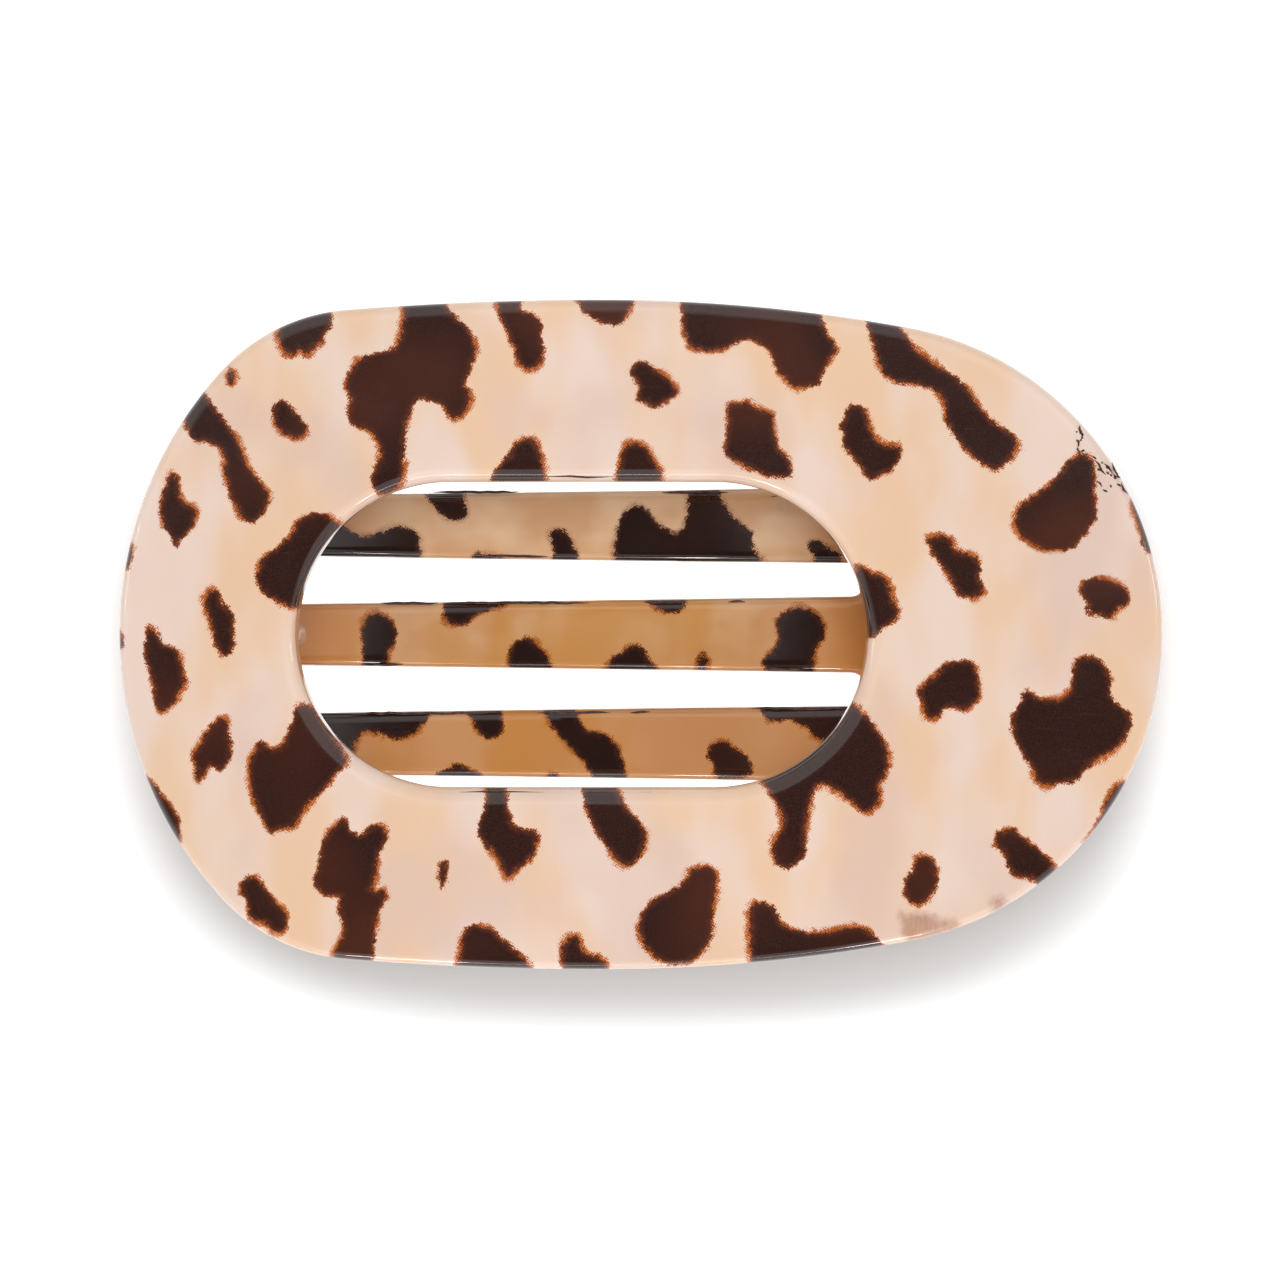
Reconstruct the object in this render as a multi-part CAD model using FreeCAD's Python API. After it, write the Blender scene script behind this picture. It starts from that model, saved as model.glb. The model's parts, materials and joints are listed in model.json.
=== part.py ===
"""Flat oval hair clip: an arched oval frame hinged over a three-tine jaw.

Row frame: millimetres, +X along the clip towards the thumb end, +Z up, away from the hair.
The origin is at the middle of the clip's footprint, on the plane that it lies on.
"""
import FreeCAD, Part

import math
import os

from FreeCAD import Vector

# ---- Oval frame, seen from above
frame_length = 88.0
frame_width = 56.0
frame_thickness = 3.4
frame_crown_z = 20.0         # highest point of the front face
arch_radius = 220.0          # of the front face, about the Y direction
side_apex_x = -3.4           # where the long sides bulge most
left_side_radius = 295.0
left_shoulder_radius = 16.0
left_end_flatness = 4.6      # the left end's radius is this much over half the width
right_end_pinch = 1.9        # the right end's radius is this much under half the width
side_band = 15.2             # frame left beside the opening, above and below
left_band = 15.0             # frame left at the closing end
hinge_land = 25.0            # solid frame left at the hinge end
front_edge_radius = 1.4
back_edge_radius = 0.9

# ---- Jaw: three tines, a hinge crest and a thumb tab, bent from one thickness
jaw_thickness = 2.8
tine_side_gap = 0.1          # outer tines' outer edges, inside the opening's edge
slot_root_width = 2.8
slot_tip_width = 4.3
tip_setback = 6.2            # tine tips, inside the frame's closing end
tip_gap = 0.2                # between a closed tip and the frame's back
root_setback = 0.2           # slot ends, past the opening's edge
slot_corner_radius = 1.2
belly_length = 11.0          # straight stretch that the clip lies on
belly_offset = -2.6          # its middle, from the middle of the opening
tab_setback = 2.3            # tab end, inside the frame's hinge end
tab_half_width = 9.8
tab_corner_radius = 5.5
plate_side_margin = 0.8      # hinge plate, past the frame's ears
plate_end_inset = 0.5        # its full width ends this far inside the ears' round
neck_length = 6.0            # from the hinge plate's width down to the tab's
neck_radius = 7.0
jaw_edge_radius = 0.75

# ---- Grip teeth on the tines, and thumb ridges under the tab
tooth_setback = 0.9          # tooth axis, behind the opening's closing edge
tooth_base_radius = 1.25
tooth_top_radius = 0.8
tooth_height = 2.2
tooth_round = 0.5
tooth_root_depth = 0.8       # how far a tooth runs into its tine
ridge_count = 4
ridge_spacing = 2.0
ridge_radius = 0.7
ridge_height = 0.4
ridge_length = 12.0
ridge_end_setback = 4.2      # last ridge, from the tab's end

# ---- Hinge
hinge_setback = 18.8         # hinge axis, from the frame's hinge end
pin_diameter = 2.0
pin_running_gap = 0.05       # radial, in the jaw's ears
ear_wall = 1.9               # round the pin
ear_clearance = 0.5          # ear and coil, to the part facing them
frame_ear_thickness = 2.8
jaw_ear_thickness = 2.6
ear_side_gap = 0.25
ear_half_base = 4.4
ear_root_depth = 1.2         # how far an ear runs into its plate
ear_edge_radius = 0.45
pin_head_diameter = 3.6
pin_head_height = 0.8
pin_head_round = 0.55
pin_swage_diameter = 2.8
pin_swage_height = 0.5

# ---- Torsion spring
wire_diameter = 1.2
coil_pin_gap = 0.7           # radial, between pin and coil
coil_pitch = 1.3
coil_full_turns = 7
coil_side_gap = 0.8
leg_reach = 9.2              # leg end, past the hinge axis
channel_gap = 0.15           # round a leg, in the channel that it bears in

end_flat = 0.05              # half of the flat left in the middle of a fully round end
cut_margin = 2.0             # how far cutting shapes and blanks run past what they trim

# ---- Sizes that follow from the ones above
half_length = frame_length / 2
half_width = frame_width / 2
half_jaw = jaw_thickness / 2
pin_radius = pin_diameter / 2
wire_radius = wire_diameter / 2
back_radius = arch_radius - frame_thickness
arch_centre_z = frame_crown_z - arch_radius

opening_left = -half_length + left_band
opening_right = half_length - hinge_land
opening_radius = half_width - side_band
opening_x = (opening_left + opening_right) / 2

comb_half_width = opening_radius - tine_side_gap
tine_root_width = 2 * (comb_half_width - slot_root_width) / 3
tine_pitch = tine_root_width + slot_root_width
tine_tip_width = tine_pitch - slot_tip_width
jaw_round = min(jaw_edge_radius, 0.15 * tine_tip_width)

tip_x = -half_length + tip_setback
slot_end_x = opening_right + root_setback
belly_left = opening_x + belly_offset - belly_length / 2
belly_right = belly_left + belly_length
tab_end_x = half_length - tab_setback
hinge_x = half_length - hinge_setback

coil_radius = pin_radius + coil_pin_gap + wire_radius
coil_outer_radius = coil_radius + wire_radius
ear_radius = pin_radius + ear_wall
hinge_room = max(coil_outer_radius, ear_radius)


def frame_back_z(x):
    """Height of the frame's back face at x."""
    return arch_centre_z + math.sqrt(back_radius ** 2 - x ** 2)


hinge_z = frame_back_z(hinge_x + ear_half_base) - hinge_room - ear_clearance
crest_z = hinge_z - hinge_room - ear_clearance - half_jaw   # middle of the jaw's thickness
hinge = Vector(hinge_x, 0, hinge_z)


def point(x, z, y=0.0):
    return Vector(x, y, z)


def arc_between(centre, radius, start, end):
    """Arc in the XZ plane; angles in radians, measured from +X towards +Z."""
    def at(angle):
        return centre + Vector(radius * math.cos(angle), 0, radius * math.sin(angle))
    return Part.Arc(at(start), at((start + end) / 2), at(end)).toShape()


def plan_arc(centre, radius, start, end):
    """Arc in the XY plane."""
    def at(angle):
        return centre + Vector(radius * math.cos(angle), radius * math.sin(angle), 0)
    return Part.Arc(at(start), at((start + end) / 2), at(end)).toShape()


def angle_to(centre, target):
    return math.atan2(target.y - centre.y, target.x - centre.x)


def circle_crossing(first, first_radius, second, second_radius):
    """The crossing of two circles in the XY plane that has the smaller x."""
    gap = second - first
    span = gap.Length
    along = (span ** 2 + first_radius ** 2 - second_radius ** 2) / (2 * span)
    aside = math.sqrt(first_radius ** 2 - along ** 2)
    unit = gap / span
    options = [first + unit * along + Vector(-unit.y, unit.x, 0) * s for s in (aside, -aside)]
    return min(options, key=lambda p: p.x)


def frame_outline():
    """Oval of tangent arcs: a round hinge end, bowed sides, tight shoulders and a flat-ish closing end."""
    end_radius = half_width - right_end_pinch
    end_centre = Vector(half_length - end_radius, 0, 0)
    reach = end_centre.x - side_apex_x
    side_radius = (reach ** 2 + half_width ** 2 - end_radius ** 2) / (2 * (half_width - end_radius))
    side_centre = Vector(side_apex_x, half_width - side_radius, 0)
    left_side_centre = Vector(side_apex_x, half_width - left_side_radius, 0)
    closing_radius = half_width + left_end_flatness
    closing_centre = Vector(-half_length + closing_radius, 0, 0)
    shoulder_centre = circle_crossing(
        closing_centre, closing_radius - left_shoulder_radius,
        left_side_centre, left_side_radius - left_shoulder_radius)

    end_turn = angle_to(side_centre, end_centre)
    side_turn = angle_to(left_side_centre, shoulder_centre)
    closing_turn = angle_to(closing_centre, shoulder_centre)
    upper = [
        plan_arc(end_centre, end_radius, 0, end_turn),
        plan_arc(side_centre, side_radius, end_turn, math.pi / 2),
        plan_arc(left_side_centre, left_side_radius, math.pi / 2, side_turn),
        plan_arc(shoulder_centre, left_shoulder_radius, side_turn, closing_turn),
        plan_arc(closing_centre, closing_radius, closing_turn, math.pi),
    ]
    lower = [edge.mirror(Vector(0, 0, 0), Vector(0, 1, 0)) for edge in upper]
    return Part.Wire(Part.__sortEdges__(upper + lower))


def rounded_polygon(corners):
    """Closed outline in the XY plane from (x, y, corner radius) in order."""
    points = [Vector(x, y, 0) for x, y, _ in corners]
    edges, starts, ends = [], [], []
    for i, (_, _, radius) in enumerate(corners):
        here = points[i]
        back = (points[i - 1] - here).normalize()
        ahead = (points[(i + 1) % len(points)] - here).normalize()
        half_corner = back.getAngle(ahead) / 2
        if radius <= 0 or half_corner > math.pi / 2 - 1e-6:
            starts.append(here)
            ends.append(here)
            continue
        reach = radius / math.tan(half_corner)
        start, end = here + back * reach, here + ahead * reach
        centre = here + (back + ahead).normalize() * (radius / math.sin(half_corner))
        middle = centre + (here - centre).normalize() * radius
        edges.append(Part.Arc(start, middle, end).toShape())
        starts.append(start)
        ends.append(end)
    for i in range(len(points)):
        a, b = ends[i], starts[(i + 1) % len(points)]
        if (b - a).Length > 1e-6:
            edges.append(Part.makeLine(a, b))
    return Part.Wire(Part.__sortEdges__(edges))


def prism(wire, low=-10.0, high=40.0):
    face = Part.Face(wire)
    face.translate(Vector(0, 0, low))
    return face.extrude(Vector(0, 0, high - low))


def side_slab(wire, half_span):
    """Extrudes an XZ outline both ways from the middle plane."""
    face = Part.Face(wire)
    face.translate(Vector(0, -half_span, 0))
    return face.extrude(Vector(0, 2 * half_span, 0))


def rims(shape):
    """Edges between an upright wall and a face that isn't upright."""
    owners = {}
    for face in shape.Faces:
        for edge in face.Edges:
            owners.setdefault(edge.hashCode(), []).append((edge, face))
    found = []
    for pairs in owners.values():
        if len(pairs) != 2:
            continue
        middle = pairs[0][0].valueAt(sum(pairs[0][0].ParameterRange) / 2)
        uprights = 0
        for _, face in pairs:
            u, v = face.Surface.parameter(middle)
            uprights += abs(face.normalAt(u, v).z) < 1e-5
        if uprights == 1:
            found.append(pairs[0][0])
    return found


def round_rims(shape, front_radius, back_radius_, is_front):
    """Rounds the front rims with one radius, then the back rims with the other."""
    front = [edge for edge in rims(shape) if is_front(edge)]
    shape = shape.makeFillet(front_radius, front)
    back = [edge for edge in rims(shape) if not is_front(edge)]
    return shape.makeFillet(back_radius_, back)


def tangent_touch(outside, centre, radius, side):
    """Where the line from a point touches a circle in the XZ plane; side picks which of the two."""
    gap = centre - outside
    distance = math.hypot(gap.x, gap.z)
    lean = math.atan2(gap.z, gap.x) + side * math.asin(radius / distance)
    run = math.sqrt(distance ** 2 - radius ** 2)
    return outside + Vector(run * math.cos(lean), 0, run * math.sin(lean))


def ear(base_z, inner, thickness, points_down):
    """One hinge ear: round about the pin, spreading to its root at base_z, from y = inner outwards."""
    side = -1 if points_down else 1
    left = point(hinge_x - ear_half_base, base_z)
    right = point(hinge_x + ear_half_base, base_z)
    left_touch = tangent_touch(left, hinge, ear_radius, side)
    right_touch = tangent_touch(right, hinge, ear_radius, -side)
    far = hinge + Vector(0, 0, side * ear_radius)
    outline = Part.Wire([
        Part.makeLine(left, left_touch),
        Part.Arc(left_touch, far, right_touch).toShape(),
        Part.makeLine(right_touch, right),
        Part.makeLine(right, left),
    ])
    blank = Part.Face(outline).extrude(Vector(0, thickness, 0))
    round_off = [
        edge for edge in blank.Edges
        if min(edge.Vertexes[0].Point.y, edge.Vertexes[-1].Point.y) > thickness - 1e-6
        or max(edge.Vertexes[0].Point.y, edge.Vertexes[-1].Point.y) < 1e-6
    ]
    root = [edge for edge in round_off if abs(edge.CenterOfMass.z - base_z) < 1e-6]
    round_off = [edge for edge in round_off if not any(edge.isSame(r) for r in root)]
    blank = blank.makeFillet(ear_edge_radius, round_off)
    blank.translate(Vector(0, inner, 0))
    return blank


def mirrored_pair(shape):
    return [shape, shape.mirror(Vector(0, 0, 0), Vector(0, 1, 0))]


def hinge_cylinder(radius, half_span):
    return Part.makeCylinder(
        radius, 2 * half_span, hinge - Vector(0, half_span, 0), Vector(0, 1, 0))


# ---- Jaw profile: arcs of the middle of its thickness, left to right
curl_contact = tip_x + jaw_round
curl_target_z = frame_back_z(curl_contact) - tip_gap
curl_run = belly_left - curl_contact
curl_drop = half_jaw - curl_target_z
curl_radius = (half_jaw ** 2 - curl_run ** 2 - curl_drop ** 2) / (2 * (curl_drop + half_jaw))
rise_run = hinge_x - belly_right
rise_height = crest_z - half_jaw
rise_radius = (rise_run ** 2 + rise_height ** 2) / (4 * rise_height)
rise_turn = math.asin(rise_run / 2 / rise_radius)
tab_run = tab_end_x - jaw_round - hinge_x
tab_inset = jaw_round - half_jaw
tab_drop = jaw_round - crest_z
tab_radius = (tab_drop ** 2 - tab_inset ** 2 + tab_run ** 2) / (2 * (tab_inset - tab_drop))
curl_turn = math.asin((belly_left - tip_x + cut_margin) / (curl_radius - half_jaw))
tab_turn = math.asin((tab_end_x + cut_margin - hinge_x) / (tab_radius - half_jaw))

curl_centre = point(belly_left, half_jaw + curl_radius)
rise_low_centre = point(belly_right, half_jaw + rise_radius)
rise_high_centre = point(hinge_x, crest_z - rise_radius)
tab_centre = point(hinge_x, crest_z - tab_radius)


def jaw_surface(offset):
    """Edges of the jaw's side profile at an offset above the middle of its thickness."""
    down, up = -math.pi / 2, math.pi / 2
    return [
        arc_between(curl_centre, curl_radius - offset, down - curl_turn, down),
        Part.makeLine(point(belly_left, half_jaw + offset), point(belly_right, half_jaw + offset)),
        arc_between(rise_low_centre, rise_radius - offset, down, down + rise_turn),
        arc_between(rise_high_centre, rise_radius + offset, up + rise_turn, up),
        arc_between(tab_centre, tab_radius + offset, up, up - tab_turn),
    ]


def curl_z(x, offset):
    """Height of the curled tines at x, at an offset above the middle of their thickness."""
    return curl_centre.z - math.sqrt((curl_radius - offset) ** 2 - (x - belly_left) ** 2)


def tab_z(x, offset):
    """Height of the thumb tab at x, at an offset above the middle of its thickness."""
    return tab_centre.z + math.sqrt((tab_radius + offset) ** 2 - (x - hinge_x) ** 2)


def jaw_outline():
    """Comb of three tines, a straight hinge plate and a rounded thumb tab."""
    tip_round = tine_tip_width / 2 - end_flat
    plate_half = frame_ear_outer + plate_side_margin
    plate_start = hinge_x - ear_half_base
    plate_end = hinge_x + ear_radius - plate_end_inset
    corners = [
        (tab_end_x, -tab_half_width, tab_corner_radius),
        (tab_end_x, tab_half_width, tab_corner_radius),
        (plate_end + neck_length, tab_half_width, neck_radius),
        (plate_end, plate_half, neck_radius),
        (plate_start, plate_half, slot_corner_radius),
        (slot_end_x, comb_half_width, slot_corner_radius),
    ]
    for row in (1, 0, -1):
        middle = row * tine_pitch
        if row < 1:
            corners.append((slot_end_x, middle + tine_root_width / 2, slot_corner_radius))
        corners.append((tip_x, middle + tine_tip_width / 2, tip_round))
        corners.append((tip_x, middle - tine_tip_width / 2, tip_round))
        if row > -1:
            corners.append((slot_end_x, middle - tine_root_width / 2, slot_corner_radius))
    corners += [
        (slot_end_x, -comb_half_width, slot_corner_radius),
        (plate_start, -plate_half, slot_corner_radius),
        (plate_end, -plate_half, neck_radius),
        (plate_end + neck_length, -tab_half_width, neck_radius),
    ]
    return rounded_polygon(corners)


# ---- Spring route: each leg's far end bears on a face, and its line touches the coil's circle
leg_end_x = hinge_x + leg_reach
upper_leg_end = point(leg_end_x, frame_back_z(leg_end_x))
lower_leg_end = point(leg_end_x, tab_z(leg_end_x, half_jaw))
upper_touch = tangent_touch(upper_leg_end, hinge, coil_radius, -1)
lower_touch = tangent_touch(lower_leg_end, hinge, coil_radius, 1)


def coil_angle(touch):
    """Turn about the hinge from +X towards -Z, which is how the wire winds as y grows."""
    return math.atan2(-(touch.z - hinge_z), touch.x - hinge_x)


coil_start = coil_angle(lower_touch)
coil_sweep = (coil_angle(upper_touch) - coil_start) % (2 * math.pi) + 2 * math.pi * coil_full_turns
coil_length = coil_sweep / (2 * math.pi) * coil_pitch
coil_lead = coil_pitch / (2 * math.pi * coil_radius)


# ---- Places along the hinge, outwards from the middle
jaw_ear_inner = coil_length / 2 + wire_radius + coil_side_gap
jaw_ear_outer = jaw_ear_inner + jaw_ear_thickness
frame_ear_inner = jaw_ear_outer + ear_side_gap
frame_ear_outer = frame_ear_inner + frame_ear_thickness


def leg_line(touch, end, outward):
    """Start and end of a leg's middle line; it keeps the slant that the winding gives it."""
    start = Vector(touch.x, outward * coil_length / 2, touch.z)
    run = math.hypot(end.x - touch.x, end.z - touch.z)
    return start, Vector(end.x, start.y + outward * coil_lead * run, end.z)


def leg_rod(touch, end, outward, radius):
    start, finish = leg_line(touch, end, outward)
    return Part.makeCylinder(radius, (finish - start).Length, start, finish - start)


def leg_channel(touch, end, outward):
    """What a leg's bearing channel removes: the leg grown by its clearance, with a round end."""
    radius = wire_radius + channel_gap
    _, finish = leg_line(touch, end, outward)
    rod = leg_rod(touch, end, outward, radius)
    return rod.fuse(Part.makeSphere(radius, finish))


def front_frame():
    outer, inner = prism(frame_outline()), prism(rounded_polygon([
        (opening_right, -opening_radius, opening_radius - end_flat),
        (opening_right, opening_radius, opening_radius - end_flat),
        (opening_left, opening_radius, opening_radius - end_flat),
        (opening_left, -opening_radius, opening_radius - end_flat),
    ]))
    centre = point(0, arch_centre_z)
    lean = math.asin((half_length + cut_margin) / back_radius)
    up = math.pi / 2
    front, back = (
        arc_between(centre, radius, up + lean, up - lean) for radius in (arch_radius, back_radius))
    slab = side_slab(Part.Wire(Part.__sortEdges__([
        front, back,
        Part.makeLine(front.Vertexes[0].Point, back.Vertexes[0].Point),
        Part.makeLine(front.Vertexes[-1].Point, back.Vertexes[-1].Point),
    ])), half_width + cut_margin)
    plate = slab.common(outer).cut(inner)
    middle_radius = (arch_radius + back_radius) / 2

    def is_front(edge):
        middle = edge.valueAt(sum(edge.ParameterRange) / 2)
        return math.hypot(middle.x, middle.z - arch_centre_z) > middle_radius

    plate = round_rims(plate.Solids[0], front_edge_radius, back_edge_radius, is_front)
    root_z = frame_back_z(hinge_x) + ear_root_depth
    ears = mirrored_pair(ear(root_z, frame_ear_inner, frame_ear_thickness, True))
    body = plate.multiFuse(ears)
    body = body.cut(hinge_cylinder(pin_radius, frame_ear_outer + cut_margin))
    body = body.cut(leg_channel(upper_touch, upper_leg_end, 1))
    return body.removeSplitter()


def grip_teeth():
    x = opening_left - tooth_setback
    full_height = tooth_height + tooth_root_depth
    teeth = []
    for row in (-1, 0, 1):
        foot = Vector(x, row * tine_pitch, curl_z(x, half_jaw) - tooth_root_depth)
        tooth = Part.makeCone(tooth_base_radius, tooth_top_radius, full_height, foot)
        top = [e for e in tooth.Edges if abs(e.CenterOfMass.z - foot.z - full_height) < 1e-6]
        teeth.append(tooth.makeFillet(tooth_round, top))
    return teeth


def thumb_ridges():
    ridges = []
    for i in range(ridge_count):
        x = tab_end_x - ridge_end_setback - i * ridge_spacing
        z = tab_z(x, -half_jaw) + ridge_radius - ridge_height
        start = Vector(x, -ridge_length / 2, z)
        ridges.append(Part.makeCylinder(ridge_radius, ridge_length, start, Vector(0, 1, 0)))
        ridges += [
            Part.makeSphere(ridge_radius, start + Vector(0, s, 0)) for s in (0, ridge_length)]
    return ridges


def back_jaw():
    top, bottom = jaw_surface(half_jaw), jaw_surface(-half_jaw)
    loop = top + bottom + [
        Part.makeLine(top[0].Vertexes[0].Point, bottom[0].Vertexes[0].Point),
        Part.makeLine(top[-1].Vertexes[-1].Point, bottom[-1].Vertexes[-1].Point),
    ]
    slab = side_slab(Part.Wire(Part.__sortEdges__(loop)), half_width)
    blank = slab.common(prism(jaw_outline())).Solids[0]
    blank = blank.makeFillet(jaw_round, rims(blank))
    root_z = crest_z + half_jaw - ear_root_depth
    ears = mirrored_pair(ear(root_z, jaw_ear_inner, jaw_ear_thickness, False))
    body = blank.multiFuse(ears + grip_teeth() + thumb_ridges())
    body = body.cut(hinge_cylinder(pin_radius + pin_running_gap, jaw_ear_outer + cut_margin))
    body = body.cut(leg_channel(lower_touch, lower_leg_end, -1))
    return body.removeSplitter()


def hinge_pin():
    """Steel pin, pressed into the frame's ears: a domed head at one end, swaged over at the other."""
    shaft = hinge_cylinder(pin_radius, frame_ear_outer)
    head_foot = hinge + Vector(0, frame_ear_outer, 0)
    head = Part.makeCylinder(pin_head_diameter / 2, pin_head_height, head_foot, Vector(0, 1, 0))
    head_top = [e for e in head.Edges
                if abs(e.CenterOfMass.y - head_foot.y - pin_head_height) < 1e-6]
    head = head.makeFillet(pin_head_round, head_top)
    swage_foot = hinge - Vector(0, frame_ear_outer, 0)
    swage = Part.makeCone(
        pin_swage_diameter / 2, pin_radius, pin_swage_height, swage_foot, Vector(0, -1, 0))
    return shaft.multiFuse([head, swage]).removeSplitter()


def torsion_spring():
    helix = Part.makeHelix(coil_pitch, coil_length, coil_radius)
    start = Vector(coil_radius, 0, 0)
    heading = Vector(0, 1, coil_lead)
    section = Part.Wire(Part.Circle(start, heading, wire_radius).toShape())
    coil = Part.Wire(helix.Edges).makePipeShell([section], True, True)
    # The helix stands on +Z: turn it about Z to its start angle, then lay its axis along +Y.
    coil.rotate(Vector(0, 0, 0), Vector(0, 0, 1), math.degrees(coil_start))
    coil.rotate(Vector(0, 0, 0), Vector(1, 0, 0), -90)
    coil.translate(hinge - Vector(0, coil_length / 2, 0))
    legs = [
        leg_rod(lower_touch, lower_leg_end, -1, wire_radius),
        leg_rod(upper_touch, upper_leg_end, 1, wire_radius),
    ]
    return coil.multiFuse(legs).removeSplitter()


os.makedirs("parts", exist_ok=True)
nodes = {
    "front_frame": front_frame(),
    "back_jaw": back_jaw(),
    "hinge_pin": hinge_pin(),
    "torsion_spring": torsion_spring(),
}
for name, shape in nodes.items():
    box = shape.BoundBox
    print(name, "valid", shape.isValid(), "solids", len(shape.Solids), "volume", round(shape.Volume, 2),
          "x", round(box.XMin, 2), round(box.XMax, 2), "y", round(box.YMin, 2), round(box.YMax, 2),
          "z", round(box.ZMin, 2), round(box.ZMax, 2))
    shape.exportStep(f"parts/{name}.step")
print("hinge at", round(hinge_x, 3), round(hinge_z, 3), "tab radius", round(tab_radius, 2),
      "curl radius", round(curl_radius, 2), "rise radius", round(rise_radius, 2))
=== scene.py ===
import json
import math

import bmesh
import bpy
import numpy as np
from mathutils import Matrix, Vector
from mathutils.geometry import convex_hull_2d


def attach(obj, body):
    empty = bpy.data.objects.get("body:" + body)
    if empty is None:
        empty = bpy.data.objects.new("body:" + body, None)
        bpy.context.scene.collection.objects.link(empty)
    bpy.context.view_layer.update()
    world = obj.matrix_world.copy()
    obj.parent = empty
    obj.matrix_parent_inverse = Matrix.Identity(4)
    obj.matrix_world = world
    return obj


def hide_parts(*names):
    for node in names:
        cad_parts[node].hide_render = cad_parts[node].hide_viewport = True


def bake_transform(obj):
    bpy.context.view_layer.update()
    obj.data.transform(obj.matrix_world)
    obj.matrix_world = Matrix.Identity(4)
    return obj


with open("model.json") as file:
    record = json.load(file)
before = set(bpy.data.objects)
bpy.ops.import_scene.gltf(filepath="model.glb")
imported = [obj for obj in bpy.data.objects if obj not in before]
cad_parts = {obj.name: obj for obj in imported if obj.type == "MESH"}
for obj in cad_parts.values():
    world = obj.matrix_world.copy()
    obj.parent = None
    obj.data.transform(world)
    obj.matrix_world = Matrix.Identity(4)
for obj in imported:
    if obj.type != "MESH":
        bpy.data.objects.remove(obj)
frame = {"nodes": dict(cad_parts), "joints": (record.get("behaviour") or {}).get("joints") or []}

scene = bpy.context.scene
for startName in ("Cube", "Light", "Camera"):          # what a new Blender file holds
    if startName in bpy.data.objects:
        bpy.data.objects.remove(bpy.data.objects[startName])
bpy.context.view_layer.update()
mm = 0.001
hinge = frame["joints"][0]["pos_m"]         # metres; the pin's middle line runs along Y through it
hingeX = hinge[0] / mm
hingeZ = hinge[2] / mm
print("frame loaded")


# Node helpers: inputs may be numbers, colours or sockets of other nodes

def feed(tree, node, inputs):
    for key, value in inputs.items():
        if isinstance(value, bpy.types.NodeSocket):
            tree.links.new(value, node.inputs[key])
        else:
            node.inputs[key].default_value = value
    return node


def addNode(tree, kind, inputs=None, **settings):
    node = tree.nodes.new(kind)
    for key, value in settings.items():
        setattr(node, key, value)
    return feed(tree, node, inputs or {})


def maths(tree, operation, *values):
    return addNode(tree, "ShaderNodeMath", dict(enumerate(values)), operation=operation).outputs[0]


def spread(tree, x, y, power=2.0):
    total = maths(tree, "ADD", maths(tree, "POWER", x, power), maths(tree, "POWER", y, power))
    return maths(tree, "POWER", total, 1 / power)


def ramp(tree, value, fromLow, fromHigh, toLow=0.0, toHigh=1.0, smooth=True):
    node = addNode(tree, "ShaderNodeMapRange", {
        "Value": value, "From Min": fromLow, "From Max": fromHigh, "To Min": toLow, "To Max": toHigh})
    node.interpolation_type = "SMOOTHSTEP" if smooth else "LINEAR"
    return node.outputs["Result"]


def mixColour(tree, amount, first, second):
    node = addNode(tree, "ShaderNodeMix", data_type="RGBA")
    return feed(tree, node, {0: amount, 6: first, 7: second}).outputs[2]


def noise(tree, vector, scale, detail=2.0, rough=0.5):
    node = addNode(tree, "ShaderNodeTexNoise", {
        "Vector": vector, "Scale": scale, "Detail": detail, "Roughness": rough})
    return node.outputs["Fac"]


# screen colour to linear light
def srgb(red, green, blue):
    def lift(value):
        value = value / 255
        return value / 12.92 if value <= 0.04045 else ((value + 0.055) / 1.055) ** 2.4
    return (lift(red), lift(green), lift(blue), 1.0)


def newGroup(name, inputs, outputs):
    group = bpy.data.node_groups.new(name, "ShaderNodeTree")
    for label, kind, value in inputs:
        socket = group.interface.new_socket(label, in_out="INPUT", socket_type=kind)
        socket.default_value = value
    for label, kind in outputs:
        group.interface.new_socket(label, in_out="OUTPUT", socket_type=kind)
    return group, group.nodes.new("NodeGroupInput"), group.nodes.new("NodeGroupOutput")


def placeGroup(tree, group, values):
    return feed(tree, addNode(tree, "ShaderNodeGroup", node_tree=group), values)


def objectMillimetres(tree, stretch=(1, 1, 1), turn=0.0):
    place = tree.nodes.new("ShaderNodeTexCoord")
    node = addNode(tree, "ShaderNodeMapping", {
        "Vector": place.outputs["Object"],
        "Scale": tuple(s / mm for s in stretch),
        "Rotation": (0, 0, turn)})
    return node.outputs["Vector"]


# Printed tortoise film over milky plastic

filmLook = {
    "blush": 0.7, "grain": 0.35, "thinInk": 0.6, "smear": 0.6, "smearTan": 0.45,      # shares of each tone
    "wander": 0.8, "wanderScale": 1.7, "ragged": 0.6, "raggedScale": 7.5,       # mm that edges stray
    "haloWidth": (0.16, 0.62), "haloWash": 0.25, "screenTurn": math.radians(30), "screenJitter": 0.12,
}


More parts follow.
